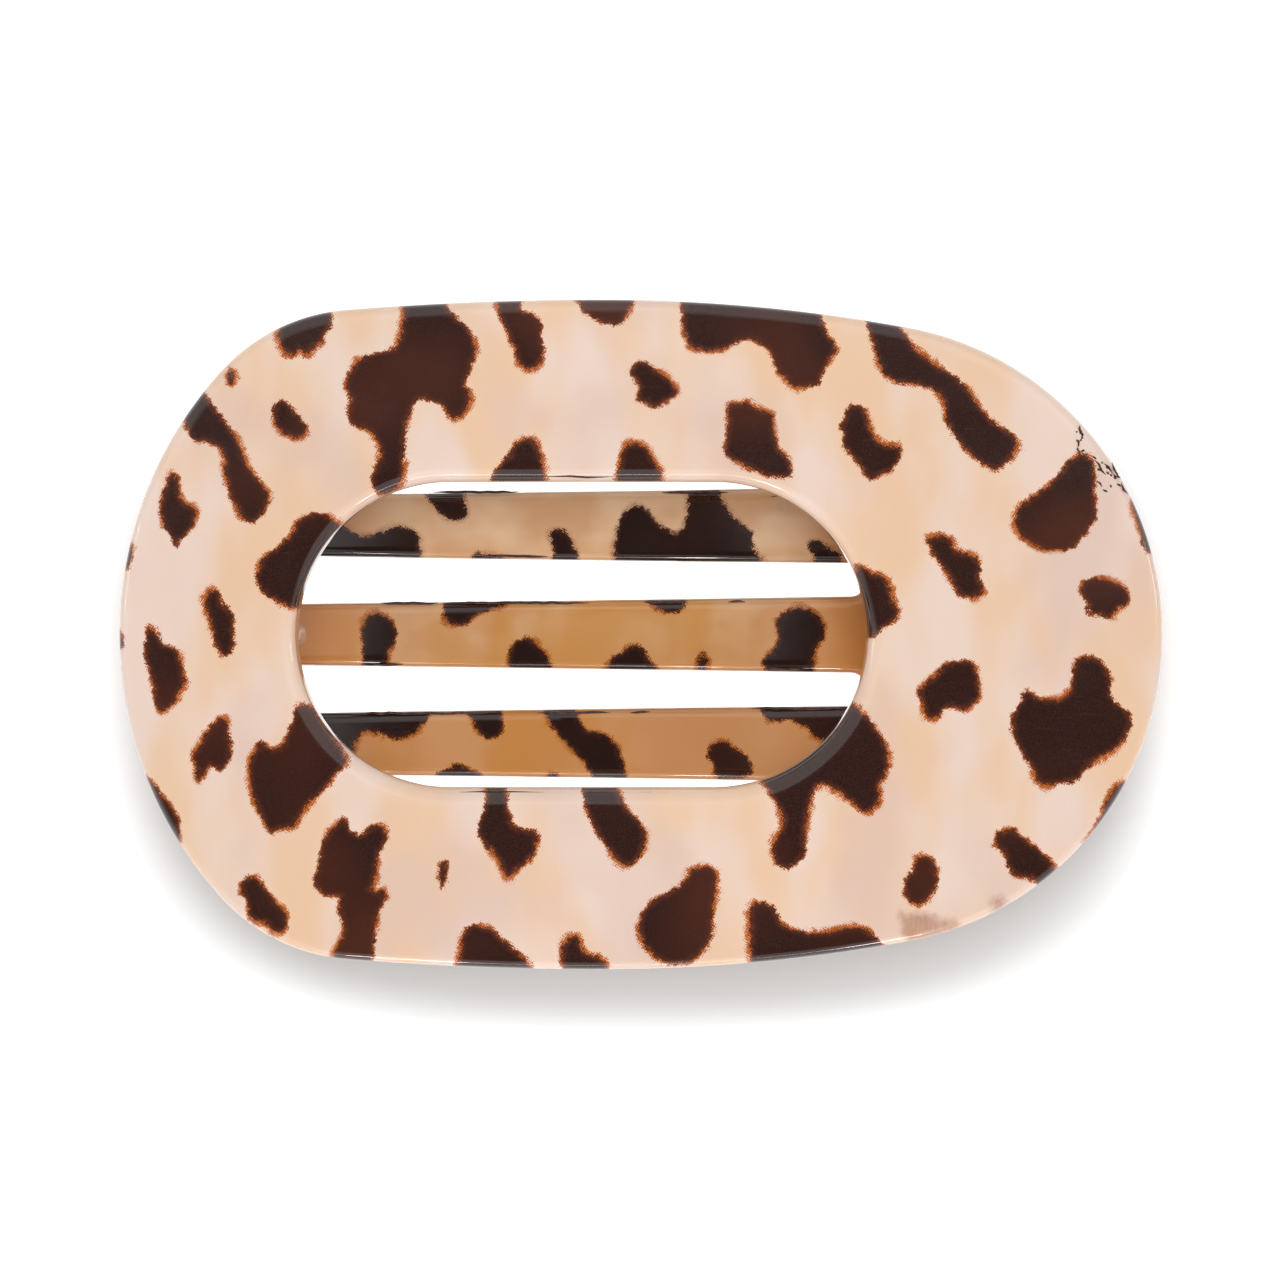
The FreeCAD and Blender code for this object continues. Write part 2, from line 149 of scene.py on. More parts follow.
def buildFilmGroup():
    look = filmLook
    group, given, out = newGroup("tortoiseFilm", [
        ("Edge Distance", "NodeSocketFloat", 3.0),     # mm, below zero inside a blotch
        ("Smear Distance", "NodeSocketFloat", 3.0),
        ("Milk", "NodeSocketColor", (0.8, 0.6, 0.5, 1)),
        ("Peach", "NodeSocketColor", (0.8, 0.6, 0.5, 1)),
        ("Blush", "NodeSocketColor", (0.8, 0.6, 0.5, 1)),
        ("Blotch", "NodeSocketColor", (0.05, 0.02, 0.02, 1)),
        ("Blotch Rim", "NodeSocketColor", (0.1, 0.04, 0.02, 1)),
        ("Halo", "NodeSocketColor", (0.5, 0.2, 0.08, 1)),
        ("Dot Pitch", "NodeSocketFloat", 0.19),
    ], [("Color", "NodeSocketColor"), ("Blotch Mask", "NodeSocketFloat"), ("Relief", "NodeSocketFloat")])
    t = group
    plain = objectMillimetres(t)
    streaky = objectMillimetres(t, (0.13, 0.06, 0.1))
    wide = objectMillimetres(t, (0.055, 0.045, 0.05))
    milky = ramp(t, noise(t, streaky, 1.0, 2.5, 0.55), 0.36, 0.64)
    blushing = ramp(t, noise(t, wide, 1.7, 2.0), 0.44, 0.68)
    base = mixColour(t, milky, given.outputs["Peach"], given.outputs["Milk"])
    base = mixColour(t, maths(t, "MULTIPLY", blushing, look["blush"]), base, given.outputs["Blush"])

    wander = maths(t, "MULTIPLY_ADD", noise(t, plain, look["wanderScale"], 3.0, 0.6),
                   look["wander"], -look["wander"] / 2)
    ragged = maths(t, "MULTIPLY_ADD", noise(t, plain, look["raggedScale"], 2.0),
                   look["ragged"], -look["ragged"] / 2)
    edge = maths(t, "ADD", maths(t, "ADD", given.outputs["Edge Distance"], wander), ragged)

    pitch = maths(t, "DIVIDE", 1.0, given.outputs["Dot Pitch"])
    dots = addNode(t, "ShaderNodeTexVoronoi", {
        "Vector": objectMillimetres(t, (1, 1, 0), look["screenTurn"]), "Scale": pitch,
        "Randomness": look["screenJitter"]}, voronoi_dimensions="2D")
    patchy = ramp(t, noise(t, plain, 0.32, 1.0), 0.34, 0.70, *look["haloWidth"])
    haloTone = ramp(t, maths(t, "DIVIDE", edge, patchy), 1.0, 0.0, smooth=False)
    darkTone = ramp(t, edge, 0.22, -0.26, smooth=False)
    gap = dots.outputs["Distance"]
    haloDots = ramp(t, maths(t, "SUBTRACT", maths(t, "MULTIPLY", haloTone, 0.95), gap), -0.05, 0.09)
    haloMask = maths(t, "MAXIMUM", maths(t, "MULTIPLY", haloTone, look["haloWash"]), haloDots)
    blotch = ramp(t, maths(t, "SUBTRACT", darkTone, gap), -0.06, 0.14)
    blotch = maths(t, "MAXIMUM", blotch, ramp(t, edge, -0.06, -0.22))

    grain = ramp(t, noise(t, plain, 7.0, 2.0, 0.7), 0.35, 0.75)
    deep = ramp(t, edge, -0.05, -0.55)
    ink = mixColour(t, deep, given.outputs["Blotch Rim"], given.outputs["Blotch"])
    ink = mixColour(t, maths(t, "MULTIPLY", grain, look["grain"]), ink, given.outputs["Blotch Rim"])
    thinner = ramp(t, noise(t, plain, 0.06, 1.0), 0.5, 0.72)
    ink = mixColour(t, maths(t, "MULTIPLY", thinner, look["thinInk"]), ink, given.outputs["Blotch Rim"])

    streaks = ramp(t, noise(t, objectMillimetres(t, (4.5, 0.9, 1.0), 0.5), 1.0, 4.0), 0.2, 0.8, 0.75, 1.0)
    smeared = ramp(t, maths(t, "ADD", given.outputs["Smear Distance"], wander), 0.5, -0.5)
    smear = maths(t, "MULTIPLY", maths(t, "MULTIPLY", smeared, streaks), look["smear"])
    tan = mixColour(t, look["smearTan"], given.outputs["Halo"], given.outputs["Blotch Rim"])
    base = mixColour(t, smear, base, tan)
    colour = mixColour(t, haloMask, base, given.outputs["Halo"])
    colour = mixColour(t, blotch, colour, ink)
    t.links.new(colour, out.inputs["Color"])
    t.links.new(blotch, out.inputs["Blotch Mask"])
    t.links.new(maths(t, "ADD", blotch, maths(t, "MULTIPLY", haloMask, 0.3)), out.inputs["Relief"])
    return group


def buildWearGroup():
    group, given, out = newGroup("handlingWear", [
        ("Scratch Scale", "NodeSocketFloat", 1.0),
        ("Base Roughness", "NodeSocketFloat", 0.1),
        ("Wear Roughness", "NodeSocketFloat", 0.2),
    ], [("Roughness", "NodeSocketFloat"), ("Height", "NodeSocketFloat")])
    t = group
    plain = objectMillimetres(t)
    smudges = ramp(t, noise(t, plain, 0.18, 3.0, 0.6), 0.42, 0.72)
    lines = []
    for turn, stretch in ((0.35, (0.25, 5.0, 1.0)), (-0.9, (0.2, 6.0, 1.0))):
        run = addNode(t, "ShaderNodeVectorMath", {
            0: objectMillimetres(t, stretch, turn)}, operation="SCALE")
        t.links.new(given.outputs["Scratch Scale"], run.inputs["Scale"])
        lines.append(ramp(t, noise(t, run.outputs["Vector"], 1.2, 1.0), 0.70, 0.78))
    scratches = maths(t, "MAXIMUM", lines[0], lines[1])
    amount = maths(t, "MAXIMUM", maths(t, "MULTIPLY", smudges, 0.5), scratches)
    span = maths(t, "SUBTRACT", given.outputs["Wear Roughness"], given.outputs["Base Roughness"])
    t.links.new(maths(t, "MULTIPLY_ADD", amount, span, given.outputs["Base Roughness"]),
                out.inputs["Roughness"])
    ripple = maths(t, "MULTIPLY", noise(t, plain, 0.22, 2.0), 2.2)
    t.links.new(maths(t, "SUBTRACT", ripple, maths(t, "MULTIPLY", scratches, 0.12)), out.inputs["Height"])
    return group


filmGroup = buildFilmGroup()
wearGroup = buildWearGroup()


def startMaterial(name):
    material = bpy.data.materials.new(name)
    material.use_nodes = True
    tree = material.node_tree
    tree.nodes.clear()
    shader = tree.nodes.new("ShaderNodeBsdfPrincipled")
    output = tree.nodes.new("ShaderNodeOutputMaterial")
    tree.links.new(shader.outputs[0], output.inputs[0])
    return material, tree, shader


plasticLook = {
    "frame": {
        "Milk": srgb(244, 219, 204), "Peach": srgb(243, 205, 171), "Blush": srgb(231, 200, 185),
        "Blotch": srgb(44, 22, 18), "Blotch Rim": srgb(90, 44, 28), "Halo": srgb(196, 104, 44),
    },
    # the jaw's plastic is the frame's made darker and more amber: partly painted shade of the tines lying
    # under the frame, partly an amber tint of its own
    "jaw": {
        "Milk": srgb(220, 178, 134), "Peach": srgb(210, 156, 92), "Blush": srgb(204, 158, 118),
        "Blotch": srgb(32, 13, 8), "Blotch Rim": srgb(62, 28, 15), "Halo": srgb(160, 80, 26),
    },
    "roughness": 0.09,
    "wornRoughness": 0.2,
    "coatRoughness": 0.03, "coatWeight": 0.3,
    "subsurface": 0.12, "subsurfaceRadius": (1.0, 0.55, 0.35), "subsurfaceScale": 0.0016,
    "dotPitch": 0.19,           # mm, of the film's printed screen
}
# painted shade: darker and more amber towards both ends of the jaw, where the frame shades the tines, fading
# out again further out where the frame hides them, and towards the lower tine; painted light: paler towards
# the upper tine; plus a random cloudy amber tone
amberToneAndShade = {
    "deep": srgb(196, 122, 46), "pale": srgb(248, 216, 180),
    "middleX": -4.5, "endFade": (15.0, 24.0), "hiddenFade": (36.0, 26.0),
    "ends": 0.85, "cloud": 0.4, "low": 0.5, "lowFade": (5.0, -7.0),
    "paleFade": (4.0, 9.0), "paleShare": 0.6,
}


def filmPlastic(name, colours, amber=None):
    material, tree, shader = startMaterial(name)
    edge = addNode(tree, "ShaderNodeAttribute", attribute_name="edgeDistance")
    smear = addNode(tree, "ShaderNodeAttribute", attribute_name="smearAndWallDistance")
    film = placeGroup(tree, filmGroup, {
        "Edge Distance": edge.outputs["Fac"], "Smear Distance": smear.outputs["Fac"],
        "Dot Pitch": plasticLook["dotPitch"], **colours})
    wear = placeGroup(tree, wearGroup, {
        "Scratch Scale": 0.8, "Base Roughness": plasticLook["roughness"],
        "Wear Roughness": plasticLook["wornRoughness"]})
    colour = film.outputs["Color"]
    if amber:
        place = addNode(tree, "ShaderNodeSeparateXYZ", {"Vector": objectMillimetres(tree)})
        # painted shade: darker amber towards both ends of the jaw, where the frame shades the tines, with a
        # random cloudy amber tone
        fromMiddle = maths(tree, "ABSOLUTE", maths(tree, "SUBTRACT", place.outputs["X"], amber["middleX"]))
        ends = maths(tree, "MINIMUM", ramp(tree, fromMiddle, *amber["endFade"]),
                     ramp(tree, fromMiddle, *amber["hiddenFade"]))
        cloudy = noise(tree, objectMillimetres(tree, (0.12, 0.2, 0.1)), 1.3, 2.0)
        cloudy = maths(tree, "MULTIPLY", ramp(tree, cloudy, 0.35, 0.65), amber["cloud"])
        # painted shade: darker towards the lower tine
        low = ramp(tree, place.outputs["Y"], *amber["lowFade"], 0.0, amber["low"])
        depth = maths(tree, "MAXIMUM", maths(tree, "MULTIPLY", ends, amber["ends"]), cloudy)
        depth = maths(tree, "MAXIMUM", depth, low)
        bare = maths(tree, "SUBTRACT", 1.0, film.outputs["Blotch Mask"])
        # painted light: paler towards the upper tine
        paintedLightAbove = ramp(tree, place.outputs["Y"], *amber["paleFade"], 0.0, amber["paleShare"])
        colour = mixColour(tree, maths(tree, "MULTIPLY", paintedLightAbove, bare), colour, amber["pale"])
        colour = mixColour(tree, maths(tree, "MULTIPLY", depth, bare), colour, amber["deep"])
    tree.links.new(colour, shader.inputs["Base Color"])
    tree.links.new(wear.outputs["Roughness"], shader.inputs["Roughness"])
    height = maths(tree, "MULTIPLY_ADD", film.outputs["Relief"], 0.12, wear.outputs["Height"])
    bump = addNode(tree, "ShaderNodeBump", {"Height": height, "Strength": 0.18, "Distance": 0.00005})
    tree.links.new(bump.outputs["Normal"], shader.inputs["Normal"])
    shader.inputs["Subsurface Weight"].default_value = plasticLook["subsurface"]
    shader.inputs["Subsurface Radius"].default_value = plasticLook["subsurfaceRadius"]
    shader.inputs["Subsurface Scale"].default_value = plasticLook["subsurfaceScale"]
    shader.inputs["Specular IOR Level"].default_value = 0.5
    shader.inputs["Coat Weight"].default_value = plasticLook["coatWeight"]
    shader.inputs["Coat Roughness"].default_value = plasticLook["coatRoughness"]
    return material


def steel(name, colour, roughness, scratchScale):
    material, tree, shader = startMaterial(name)
    wear = placeGroup(tree, wearGroup, {
        "Scratch Scale": scratchScale, "Base Roughness": roughness, "Wear Roughness": roughness + 0.25})
    patina = noise(tree, objectMillimetres(tree), 1.6, 3.0)
    dulled = mixColour(tree, ramp(tree, patina, 0.35, 0.75, 0.0, 0.5), colour,
                       tuple(c * 0.6 for c in colour[:3]) + (1,))
    tree.links.new(dulled, shader.inputs["Base Color"])
    tree.links.new(wear.outputs["Roughness"], shader.inputs["Roughness"])
    shader.inputs["Metallic"].default_value = 1.0
    bump = addNode(tree, "ShaderNodeBump", {
        "Height": wear.outputs["Height"], "Strength": 0.35, "Distance": 0.00005})
    tree.links.new(bump.outputs["Normal"], shader.inputs["Normal"])
    return material


framePlastic = filmPlastic("milkyPeachPlastic", plasticLook["frame"])
jawPlastic = filmPlastic("amberPeachPlastic", plasticLook["jaw"], amberToneAndShade)
pinSteel = steel("brushedPinSteel", srgb(200, 200, 203), 0.22, 2.5)
springSteel = steel("nickelledSpringWire", srgb(186, 184, 178), 0.28, 4.0)
print("materials made")


# Plan curves, all in millimetres

def arcPoints(cx, cy, radius, start, end, count):
    turns = np.linspace(start, end, count)
    normals = np.stack([np.cos(turns), np.sin(turns)], 1)
    return np.array([cx, cy]) + radius * normals, normals


frameSizes = {
    "halfLength": 44.0, "halfWidth": 28.0, "thickness": 3.4, "crownZ": 20.0, "archRadius": 220.0,
    "sideApexX": -3.4, "leftSideRadius": 295.0, "shoulderRadius": 16.0,
    "leftEndRadius": 32.6, "rightEndRadius": 26.1,
    "windowLeft": -29.0, "windowRight": 19.0, "windowRadius": 12.8,
    "frontRound": 1.4, "backRound": 0.9, "rimRound": 0.8,
    "around": 720, "rimSteps": 7, "frontRows": 36, "backRows": 24,
    "partingGap": 0.02, "wallTint": -0.35,
}


def frontZ(x):
    s = frameSizes
    return s["crownZ"] - s["archRadius"] + np.sqrt(s["archRadius"] ** 2 - x ** 2)


def backZ(x):
    s = frameSizes
    low = s["archRadius"] - s["thickness"]
    return s["crownZ"] - s["archRadius"] + np.sqrt(low ** 2 - x ** 2)


def ovalOutline(count=300):
    s = frameSizes
    apexX, half = s["sideApexX"], s["halfWidth"]
    endX = s["halfLength"] - s["rightEndRadius"]
    reach = endX - apexX
    sideRadius = (reach ** 2 + half ** 2 - s["rightEndRadius"] ** 2) / (2 * (half - s["rightEndRadius"]))
    closeX = -s["halfLength"] + s["leftEndRadius"]
    leftY = half - s["leftSideRadius"]
    first = s["leftEndRadius"] - s["shoulderRadius"]
    second = s["leftSideRadius"] - s["shoulderRadius"]
    gap = np.array([apexX - closeX, leftY])
    span = np.hypot(*gap)
    along = (span ** 2 + first ** 2 - second ** 2) / (2 * span)
    aside = math.sqrt(first ** 2 - along ** 2)
    unit = gap / span
    options = [np.array([closeX, 0]) + unit * along + np.array([-unit[1], unit[0]]) * k
               for k in (aside, -aside)]
    shoulder = min(options, key=lambda p: p[0])
    endTurn = math.atan2(sideRadius - half, endX - apexX)
    sideTurn = math.atan2(shoulder[1] - leftY, shoulder[0] - apexX)
    closeTurn = math.atan2(shoulder[1], shoulder[0] - closeX)
    arcs = [
        (endX, 0, s["rightEndRadius"], 0, endTurn),
        (apexX, half - sideRadius, sideRadius, endTurn, math.pi / 2),
        (apexX, leftY, s["leftSideRadius"], math.pi / 2, sideTurn),
        (shoulder[0], shoulder[1], s["shoulderRadius"], sideTurn, closeTurn),
        (closeX, 0, s["leftEndRadius"], closeTurn, math.pi),
    ]
    points, normals = [], []
    for arc in arcs:
        p, n = arcPoints(*arc, count)
        points.append(p[:-1])
        normals.append(n[:-1])
    points, normals = np.concatenate(points), np.concatenate(normals)
    flip = np.array([1, -1])
    points = np.concatenate([points, [[-s["halfLength"], 0]], points[:0:-1] * flip])
    normals = np.concatenate([normals, [[-1, 0]], normals[:0:-1] * flip])
    return points, normals


# the window's outline: straight sides and round ends
def windowOutline(count):
    s = frameSizes
    radius = s["windowRadius"]
    left, right = s["windowLeft"] + radius, s["windowRight"] - radius
    straight = right - left
    total = 2 * straight + 2 * math.pi * radius
    points, normals = [], []
    for k in range(count):
        run = total * k / count
        bend = math.pi * radius / 2
        if run < bend:
            turn, centre = run / radius, right
        elif run < bend + straight:
            turn, centre = math.pi / 2, right - (run - bend)
        elif run < 3 * bend + straight:
            turn, centre = math.pi / 2 + (run - bend - straight) / radius, left
        elif run < 3 * bend + 2 * straight:
            turn, centre = 3 * math.pi / 2, left + (run - 3 * bend - straight)
        else:
            turn, centre = 3 * math.pi / 2 + (run - 3 * bend - 2 * straight) / radius, right
        normals.append((math.cos(turn), math.sin(turn)))
        points.append((centre + radius * math.cos(turn), radius * math.sin(turn)))
    return np.array(points), np.array(normals)


# how far each ray runs before it meets the loop, and at which edge
def rayReach(origins, directions, loop):
    edge = np.roll(loop, -1, 0) - loop
    offset = loop[None] - origins[:, None]
    across = directions[:, None, 0] * edge[None, :, 1] - directions[:, None, 1] * edge[None, :, 0]
    across = np.where(abs(across) < 1e-12, 1e-12, across)
    reach = (offset[..., 0] * edge[None, :, 1] - offset[..., 1] * edge[None, :, 0]) / across
    share = (offset[..., 0] * directions[:, None, 1] - offset[..., 1] * directions[:, None, 0]) / across
    good = (reach > 1e-6) & (share >= -1e-9) & (share <= 1 + 1e-9)
    reach = np.where(good, reach, np.inf)
    return reach.min(1), reach.argmin(1)


# quads between neighbouring rings
def ringMesh(rings, loopSection=True):
    count = len(rings[0])
    vertices = np.concatenate(rings)
    faces = []
    last = len(rings) if loopSection else len(rings) - 1
    for r in range(last):
        a, b = r * count, ((r + 1) % len(rings)) * count
        for k in range(count):
            n = (k + 1) % count
            faces.append((a + k, a + n, b + n, b + k))
    return vertices, faces


def joinParts(parts):
    vertices, faces, base = [], [], 0
    for v, f in parts:
        vertices.append(v)
        faces += [tuple(i + base for i in face) for face in f]
        base += len(v)
    return np.concatenate(vertices), faces


def makePiece(name, vertices, faces, material, floats):
    mesh = bpy.data.meshes.new(name)
    mesh.from_pydata((np.asarray(vertices, float) * mm).tolist(), [], faces)
    for key, values in floats.items():
        attribute = mesh.attributes.new(key, "FLOAT", "POINT")
        attribute.data.foreach_set("value", np.asarray(values, np.float32))
    work = bmesh.new()
    work.from_mesh(mesh)
    bmesh.ops.recalc_face_normals(work, faces=work.faces)
    work.to_mesh(mesh)
    work.free()
    mesh.shade_smooth()
    mesh.materials.append(material)
    piece = bpy.data.objects.new(name, mesh)
    scene.collection.objects.link(piece)
    return piece


def fitTo(piece, body):
    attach(piece, body)


# Blotches of the frame's film, seen from the front; each outline runs round one blotch

frameBlotches = [
    [(-30.6, 25.6), (-29.9, 23.6), (-29.1, 23.4), (-28.7, 24.1), (-27.9, 23.3), (-27.6, 24.1),
     (-26.9, 24.3), (-26.6, 25.3), (-25.8, 26.2), (-26.3, 27.4), (-29, 27)],
    [(-34.6, 22.3), (-34.1, 21.6), (-34.4, 20.9), (-34.7, 21.5)],
    [(-37.0, 20.6), (-36.1, 19.2), (-35.2, 18.2), (-34.3, 17.0), (-33.6, 15.4), (-33.0, 13.8),
     (-31.8, 12.6), (-31.2, 11.7), (-31.5, 10.4), (-32.6, 9.3), (-33.5, 9.9), (-34.4, 11.6),
     (-34.9, 13.4), (-34.9, 15.0), (-35.5, 15.9), (-36.6, 16.3), (-37.6, 16.2), (-38.1, 17.4),
     (-38.6, 19.0)],
    [(-30.0, 19.7), (-29.1, 18.7), (-28.1, 17.6), (-28.1, 16.7), (-29.1, 16.5), (-30.2, 17.0),
     (-30.9, 18.2), (-30.8, 19.2)],
    [(-39.6, 13.6), (-39.0, 13.5), (-38.9, 12.2), (-38.7, 11.1), (-37.6, 10.7), (-37.4, 10.0),
     (-37.8, 8.8), (-38.8, 8.1), (-39.0, 7.2), (-39.5, 8.3), (-40.2, 9.3), (-40.4, 10.6), (-40.2, 11.9),
     (-39.8, 12.6)],
    [(-42.9, 7.5), (-42.9, 6.9), (-43.1, 5.7), (-43.8, 5.6), (-43.8, 7.5)],
    [(-36.1, 3.9), (-35.4, 3.4), (-35.4, 2.5), (-34.6, 2.2), (-34.3, 1.2), (-34.3, 0.0), (-34.2, -0.8),
     (-34.6, -1.6), (-35.1, -1.8), (-35.7, -1.0), (-35.9, 0.2), (-36.2, 1.4), (-36.7, 2.8)],
    [(-28.4, 9.9), (-27.0, 10.2), (-26.0, 9.8), (-25.0, 9.0), (-26.5, 6.5), (-28.0, 3.5), (-28.6, 2.2),
     (-29.4, 2.4), (-30.6, 2.9), (-31.7, 3.4), (-32.3, 4.6), (-31.9, 6.2), (-30.6, 7.2), (-29.4, 8.2)],
    [(-41.4, 0.9), (-40.7, -0.1), (-40.2, -0.9), (-39.2, -1.2), (-38.8, -2.0), (-38.6, -3.4),
     (-38.4, -3.9), (-38.9, -4.9), (-39.4, -5.9), (-40.0, -6.4), (-40.7, -6.2), (-40.9, -5.0),
     (-41.1, -3.6), (-41.6, -2.4), (-41.8, -1.2)],
    [(-43.8, 0.1), (-43.8, -1.4), (-44.4, -1.4), (-44.4, 0.1)],
    [(-19.6, 28.4), (-16.6, 28.4), (-16.2, 27.0), (-14.9, 26.0), (-14.0, 24.8), (-13.9, 23.4),
     (-14.3, 22.2), (-14.9, 21.0), (-14.2, 19.9), (-14.6, 18.9), (-15.3, 18.1), (-16.0, 18.2),
     (-16.5, 19.2), (-17.6, 19.6), (-18.7, 19.9), (-19.3, 18.8), (-19.8, 17.2), (-19.9, 15.2),
     (-20.0, 12.6), (-21.4, 11.6), (-22.6, 12.4), (-22.3, 13.8), (-21.6, 15.0), (-22.0, 16.4),
     (-22.9, 17.3), (-24.2, 17.5), (-24.5, 18.6), (-24.1, 19.8), (-24.8, 20.7), (-24.3, 21.9),
     (-23.4, 23.2), (-22.0, 23.5), (-20.6, 23.8), (-20.0, 25.0)],
    [(-12.0, 28.4), (-10.1, 28.4), (-10.2, 27.0), (-9.0, 26.7), (-8.3, 26.0), (-8.4, 24.8), (-8.1, 23.4),
     (-8.6, 22.5), (-9.4, 22.1), (-10.1, 22.6), (-10.6, 24.0), (-11.2, 25.6), (-11.9, 26.9)],
    [(-5.4, 28.6), (-0.4, 28.6), (-0.9, 27.4), (-1.6, 26.2), (-2.2, 25.8), (-3.6, 26.2), (-4.9, 27.1)],
    [(-0.6, 22.4), (-0.2, 22.8), (0.6, 22.6), (1.2, 22.0), (2.2, 21.4), (2.9, 20.6), (2.8, 19.8),
     (1.6, 19.3), (1.0, 18.9), (0.3, 19.5), (-0.5, 19.7), (0.0, 20.4), (-0.3, 21.2), (-1.0, 21.8)],
    [(-9.9, 16.2), (-8.9, 16.3), (-8.7, 15.6), (-8.3, 14.6), (-8.1, 13.2), (-8.0, 12.0), (-12.6, 12.0),
     (-12.4, 13.4), (-11.8, 14.1), (-10.9, 15.0), (-10.4, 15.9)],
    [(-1.3, 15.9), (-0.4, 15.9), (0.4, 15.6), (0.9, 14.6), (1.6, 13.6), (1.7, 12.0), (-2.1, 12.0),
     (-1.9, 13.6)],
    [(3.4, 28.6), (15.0, 28.4), (15.0, 26.2), (15.6, 25.0), (16.4, 24.0), (15.9, 23.2), (15.3, 22.4),
     (15.0, 21.4), (14.7, 20.8), (13.6, 20.8), (12.9, 20.6), (12.3, 21.4), (11.5, 21.8), (11.2, 22.8),
     (10.7, 23.8), (9.9, 24.5), (8.8, 24.7), (8.0, 24.5), (7.2, 23.9), (5.6, 23.7), (4.2, 24.0),
     (3.7, 24.8), (3.5, 26.5)],
    [(7.2, 19.2), (8.2, 19.2), (8.8, 19.4), (9.4, 19.0), (10.0, 18.6), (10.9, 18.5), (11.0, 17.6),
     (11.2, 16.2), (11.6, 15.2), (12.5, 14.6), (12.5, 13.2), (11.0, 13.2), (10.0, 13.5), (8.9, 14.0),
     (7.8, 14.6), (6.9, 15.2), (7.2, 16.2), (7.4, 17.6)],
    [(17.2, 18.9), (17.8, 19.2), (18.6, 18.9), (18.9, 18.0), (19.2, 16.8), (19.9, 16.0), (20.8, 15.7),
     (21.7, 15.7), (21.6, 14.6), (21.0, 13.9), (20.0, 13.4), (19.4, 12.8), (18.8, 13.4), (18.3, 14.4),
     (17.4, 15.2), (16.9, 16.0), (17.0, 16.8), (16.7, 17.5), (17.2, 18.1)],
    [(19, 28), (18.9, 26.6), (19.0, 25.6), (19.5, 24.4), (19.8, 23.0), (20.2, 22.0), (20.9, 21.3),
     (22.0, 21.1), (23.4, 21.0), (24.4, 20.6), (25.2, 20.0), (25.5, 19.2), (25.5, 18.4), (25.8, 17.4),
     (26.6, 16.2), (27.6, 15.2), (28.8, 14.3), (29.6, 13.8), (30.4, 14.2), (31.2, 15.2), (31.6, 16.0),
     (31.2, 16.7), (30.2, 17.3), (29.2, 18.0), (28.4, 18.9), (27.8, 19.9), (27.1, 20.8), (26.4, 21.5),
     (25.2, 22.2), (23.9, 23.0), (22.9, 23.8), (22.2, 24.9), (21.4, 25.9), (20.9, 26.8)],
    [(36.3, 14.9), (37.2, 15.0), (37.9, 14.8), (38.1, 13.4), (38.0, 12.0), (38.3, 10.6), (38.0, 9.6),
     (37.2, 8.4), (36.2, 7.2), (34.8, 7.1), (33.4, 7.3), (32.2, 8.0), (31.3, 9.2), (31.6, 10.6),
     (32.8, 11.4), (34.2, 12.4), (35.2, 13.4), (35.8, 14.4)],
    [(37.2, 4.5), (38.2, 4.8), (39.0, 4.6), (39.9, 4.2), (40.8, 3.8), (41.1, 3.1), (40.9, 2.6),
     (40.0, 2.2), (39.6, 1.4), (39.0, 1.6), (38.2, 1.7), (37.3, 1.7), (37.8, 2.4), (37.2, 3.0),
     (37.0, 3.8)],
    [(41.3, 11.0), (42.0, 9.2), (42.3, 7.4), (42.8, 6.9), (43.6, 7.0), (43.0, 10.0), (42.0, 12.0)],
    [(23.8, 7.9), (24.6, 8.2), (25.4, 8.3), (26.0, 7.7), (26.2, 7.0), (27.2, 6.7), (28.2, 6.4),
     (28.4, 5.6), (28.2, 4.6), (28.8, 3.7), (28.2, 3.2), (27.2, 3.1), (26.4, 3.6), (26.0, 4.8),
     (25.2, 5.7), (24.7, 6.4), (24.3, 7.2)],
    [(18.0, 6.0), (19.2, 5.1), (20.2, 4.9), (20.8, 4.1), (20.9, 3.1), (21.6, 1.9), (21.2, 1.1),
     (20.4, 0.7), (19.7, 0.0), (18.4, -0.3), (18.0, 3.0)],
    [(-35.0, -6.7), (-34.8, -7.8), (-34.5, -9.0), (-34.5, -10.2), (-35.0, -11.2), (-35.4, -11.4),
     (-36.0, -10.9), (-36.6, -11.2), (-36.8, -12.2), (-37.4, -12.1), (-37.3, -11.0), (-37.7, -10.4),
     (-37.2, -9.6), (-36.7, -8.6), (-35.9, -7.5)],
    [(-42.4, -12.0), (-41.2, -12.3), (-40.5, -13.4), (-39.4, -14.6), (-38.9, -15.6), (-38.8, -17.0),
     (-39.0, -18.4), (-41.0, -18.0)],
    [(-32.8, -20.3), (-32.2, -20.5), (-31.6, -21.3), (-30.9, -22.3), (-30.0, -23.1), (-29.7, -24.0),
     (-30.0, -25.0), (-30.9, -24.9), (-31.4, -24.0), (-32.4, -24.1), (-33.0, -23.5), (-32.9, -22.4),
     (-33.6, -21.6), (-33.4, -20.8)],
    [(-28.9, -6.0), (-27.8, -6.0), (-26.6, -7.6), (-25.0, -9.8), (-24.6, -10.8), (-25.6, -11.6),
     (-26.2, -12.4), (-27.2, -13.5), (-28.2, -14.4), (-28.9, -15.6), (-29.2, -16.2), (-30.2, -16.2),
     (-31.0, -16.7), (-31.5, -16.0), (-31.9, -15.0), (-32.5, -13.8), (-32.8, -12.2), (-32.8, -10.8),
     (-32.3, -9.6), (-31.9, -8.9), (-31.6, -9.4), (-30.8, -9.7), (-29.9, -9.4), (-29.6, -8.4),
     (-29.1, -7.2)],
    [(-24.8, -15.3), (-24.5, -16.4), (-23.6, -17.0), (-22.8, -16.3), (-22.1, -15.9), (-21.4, -16.2),
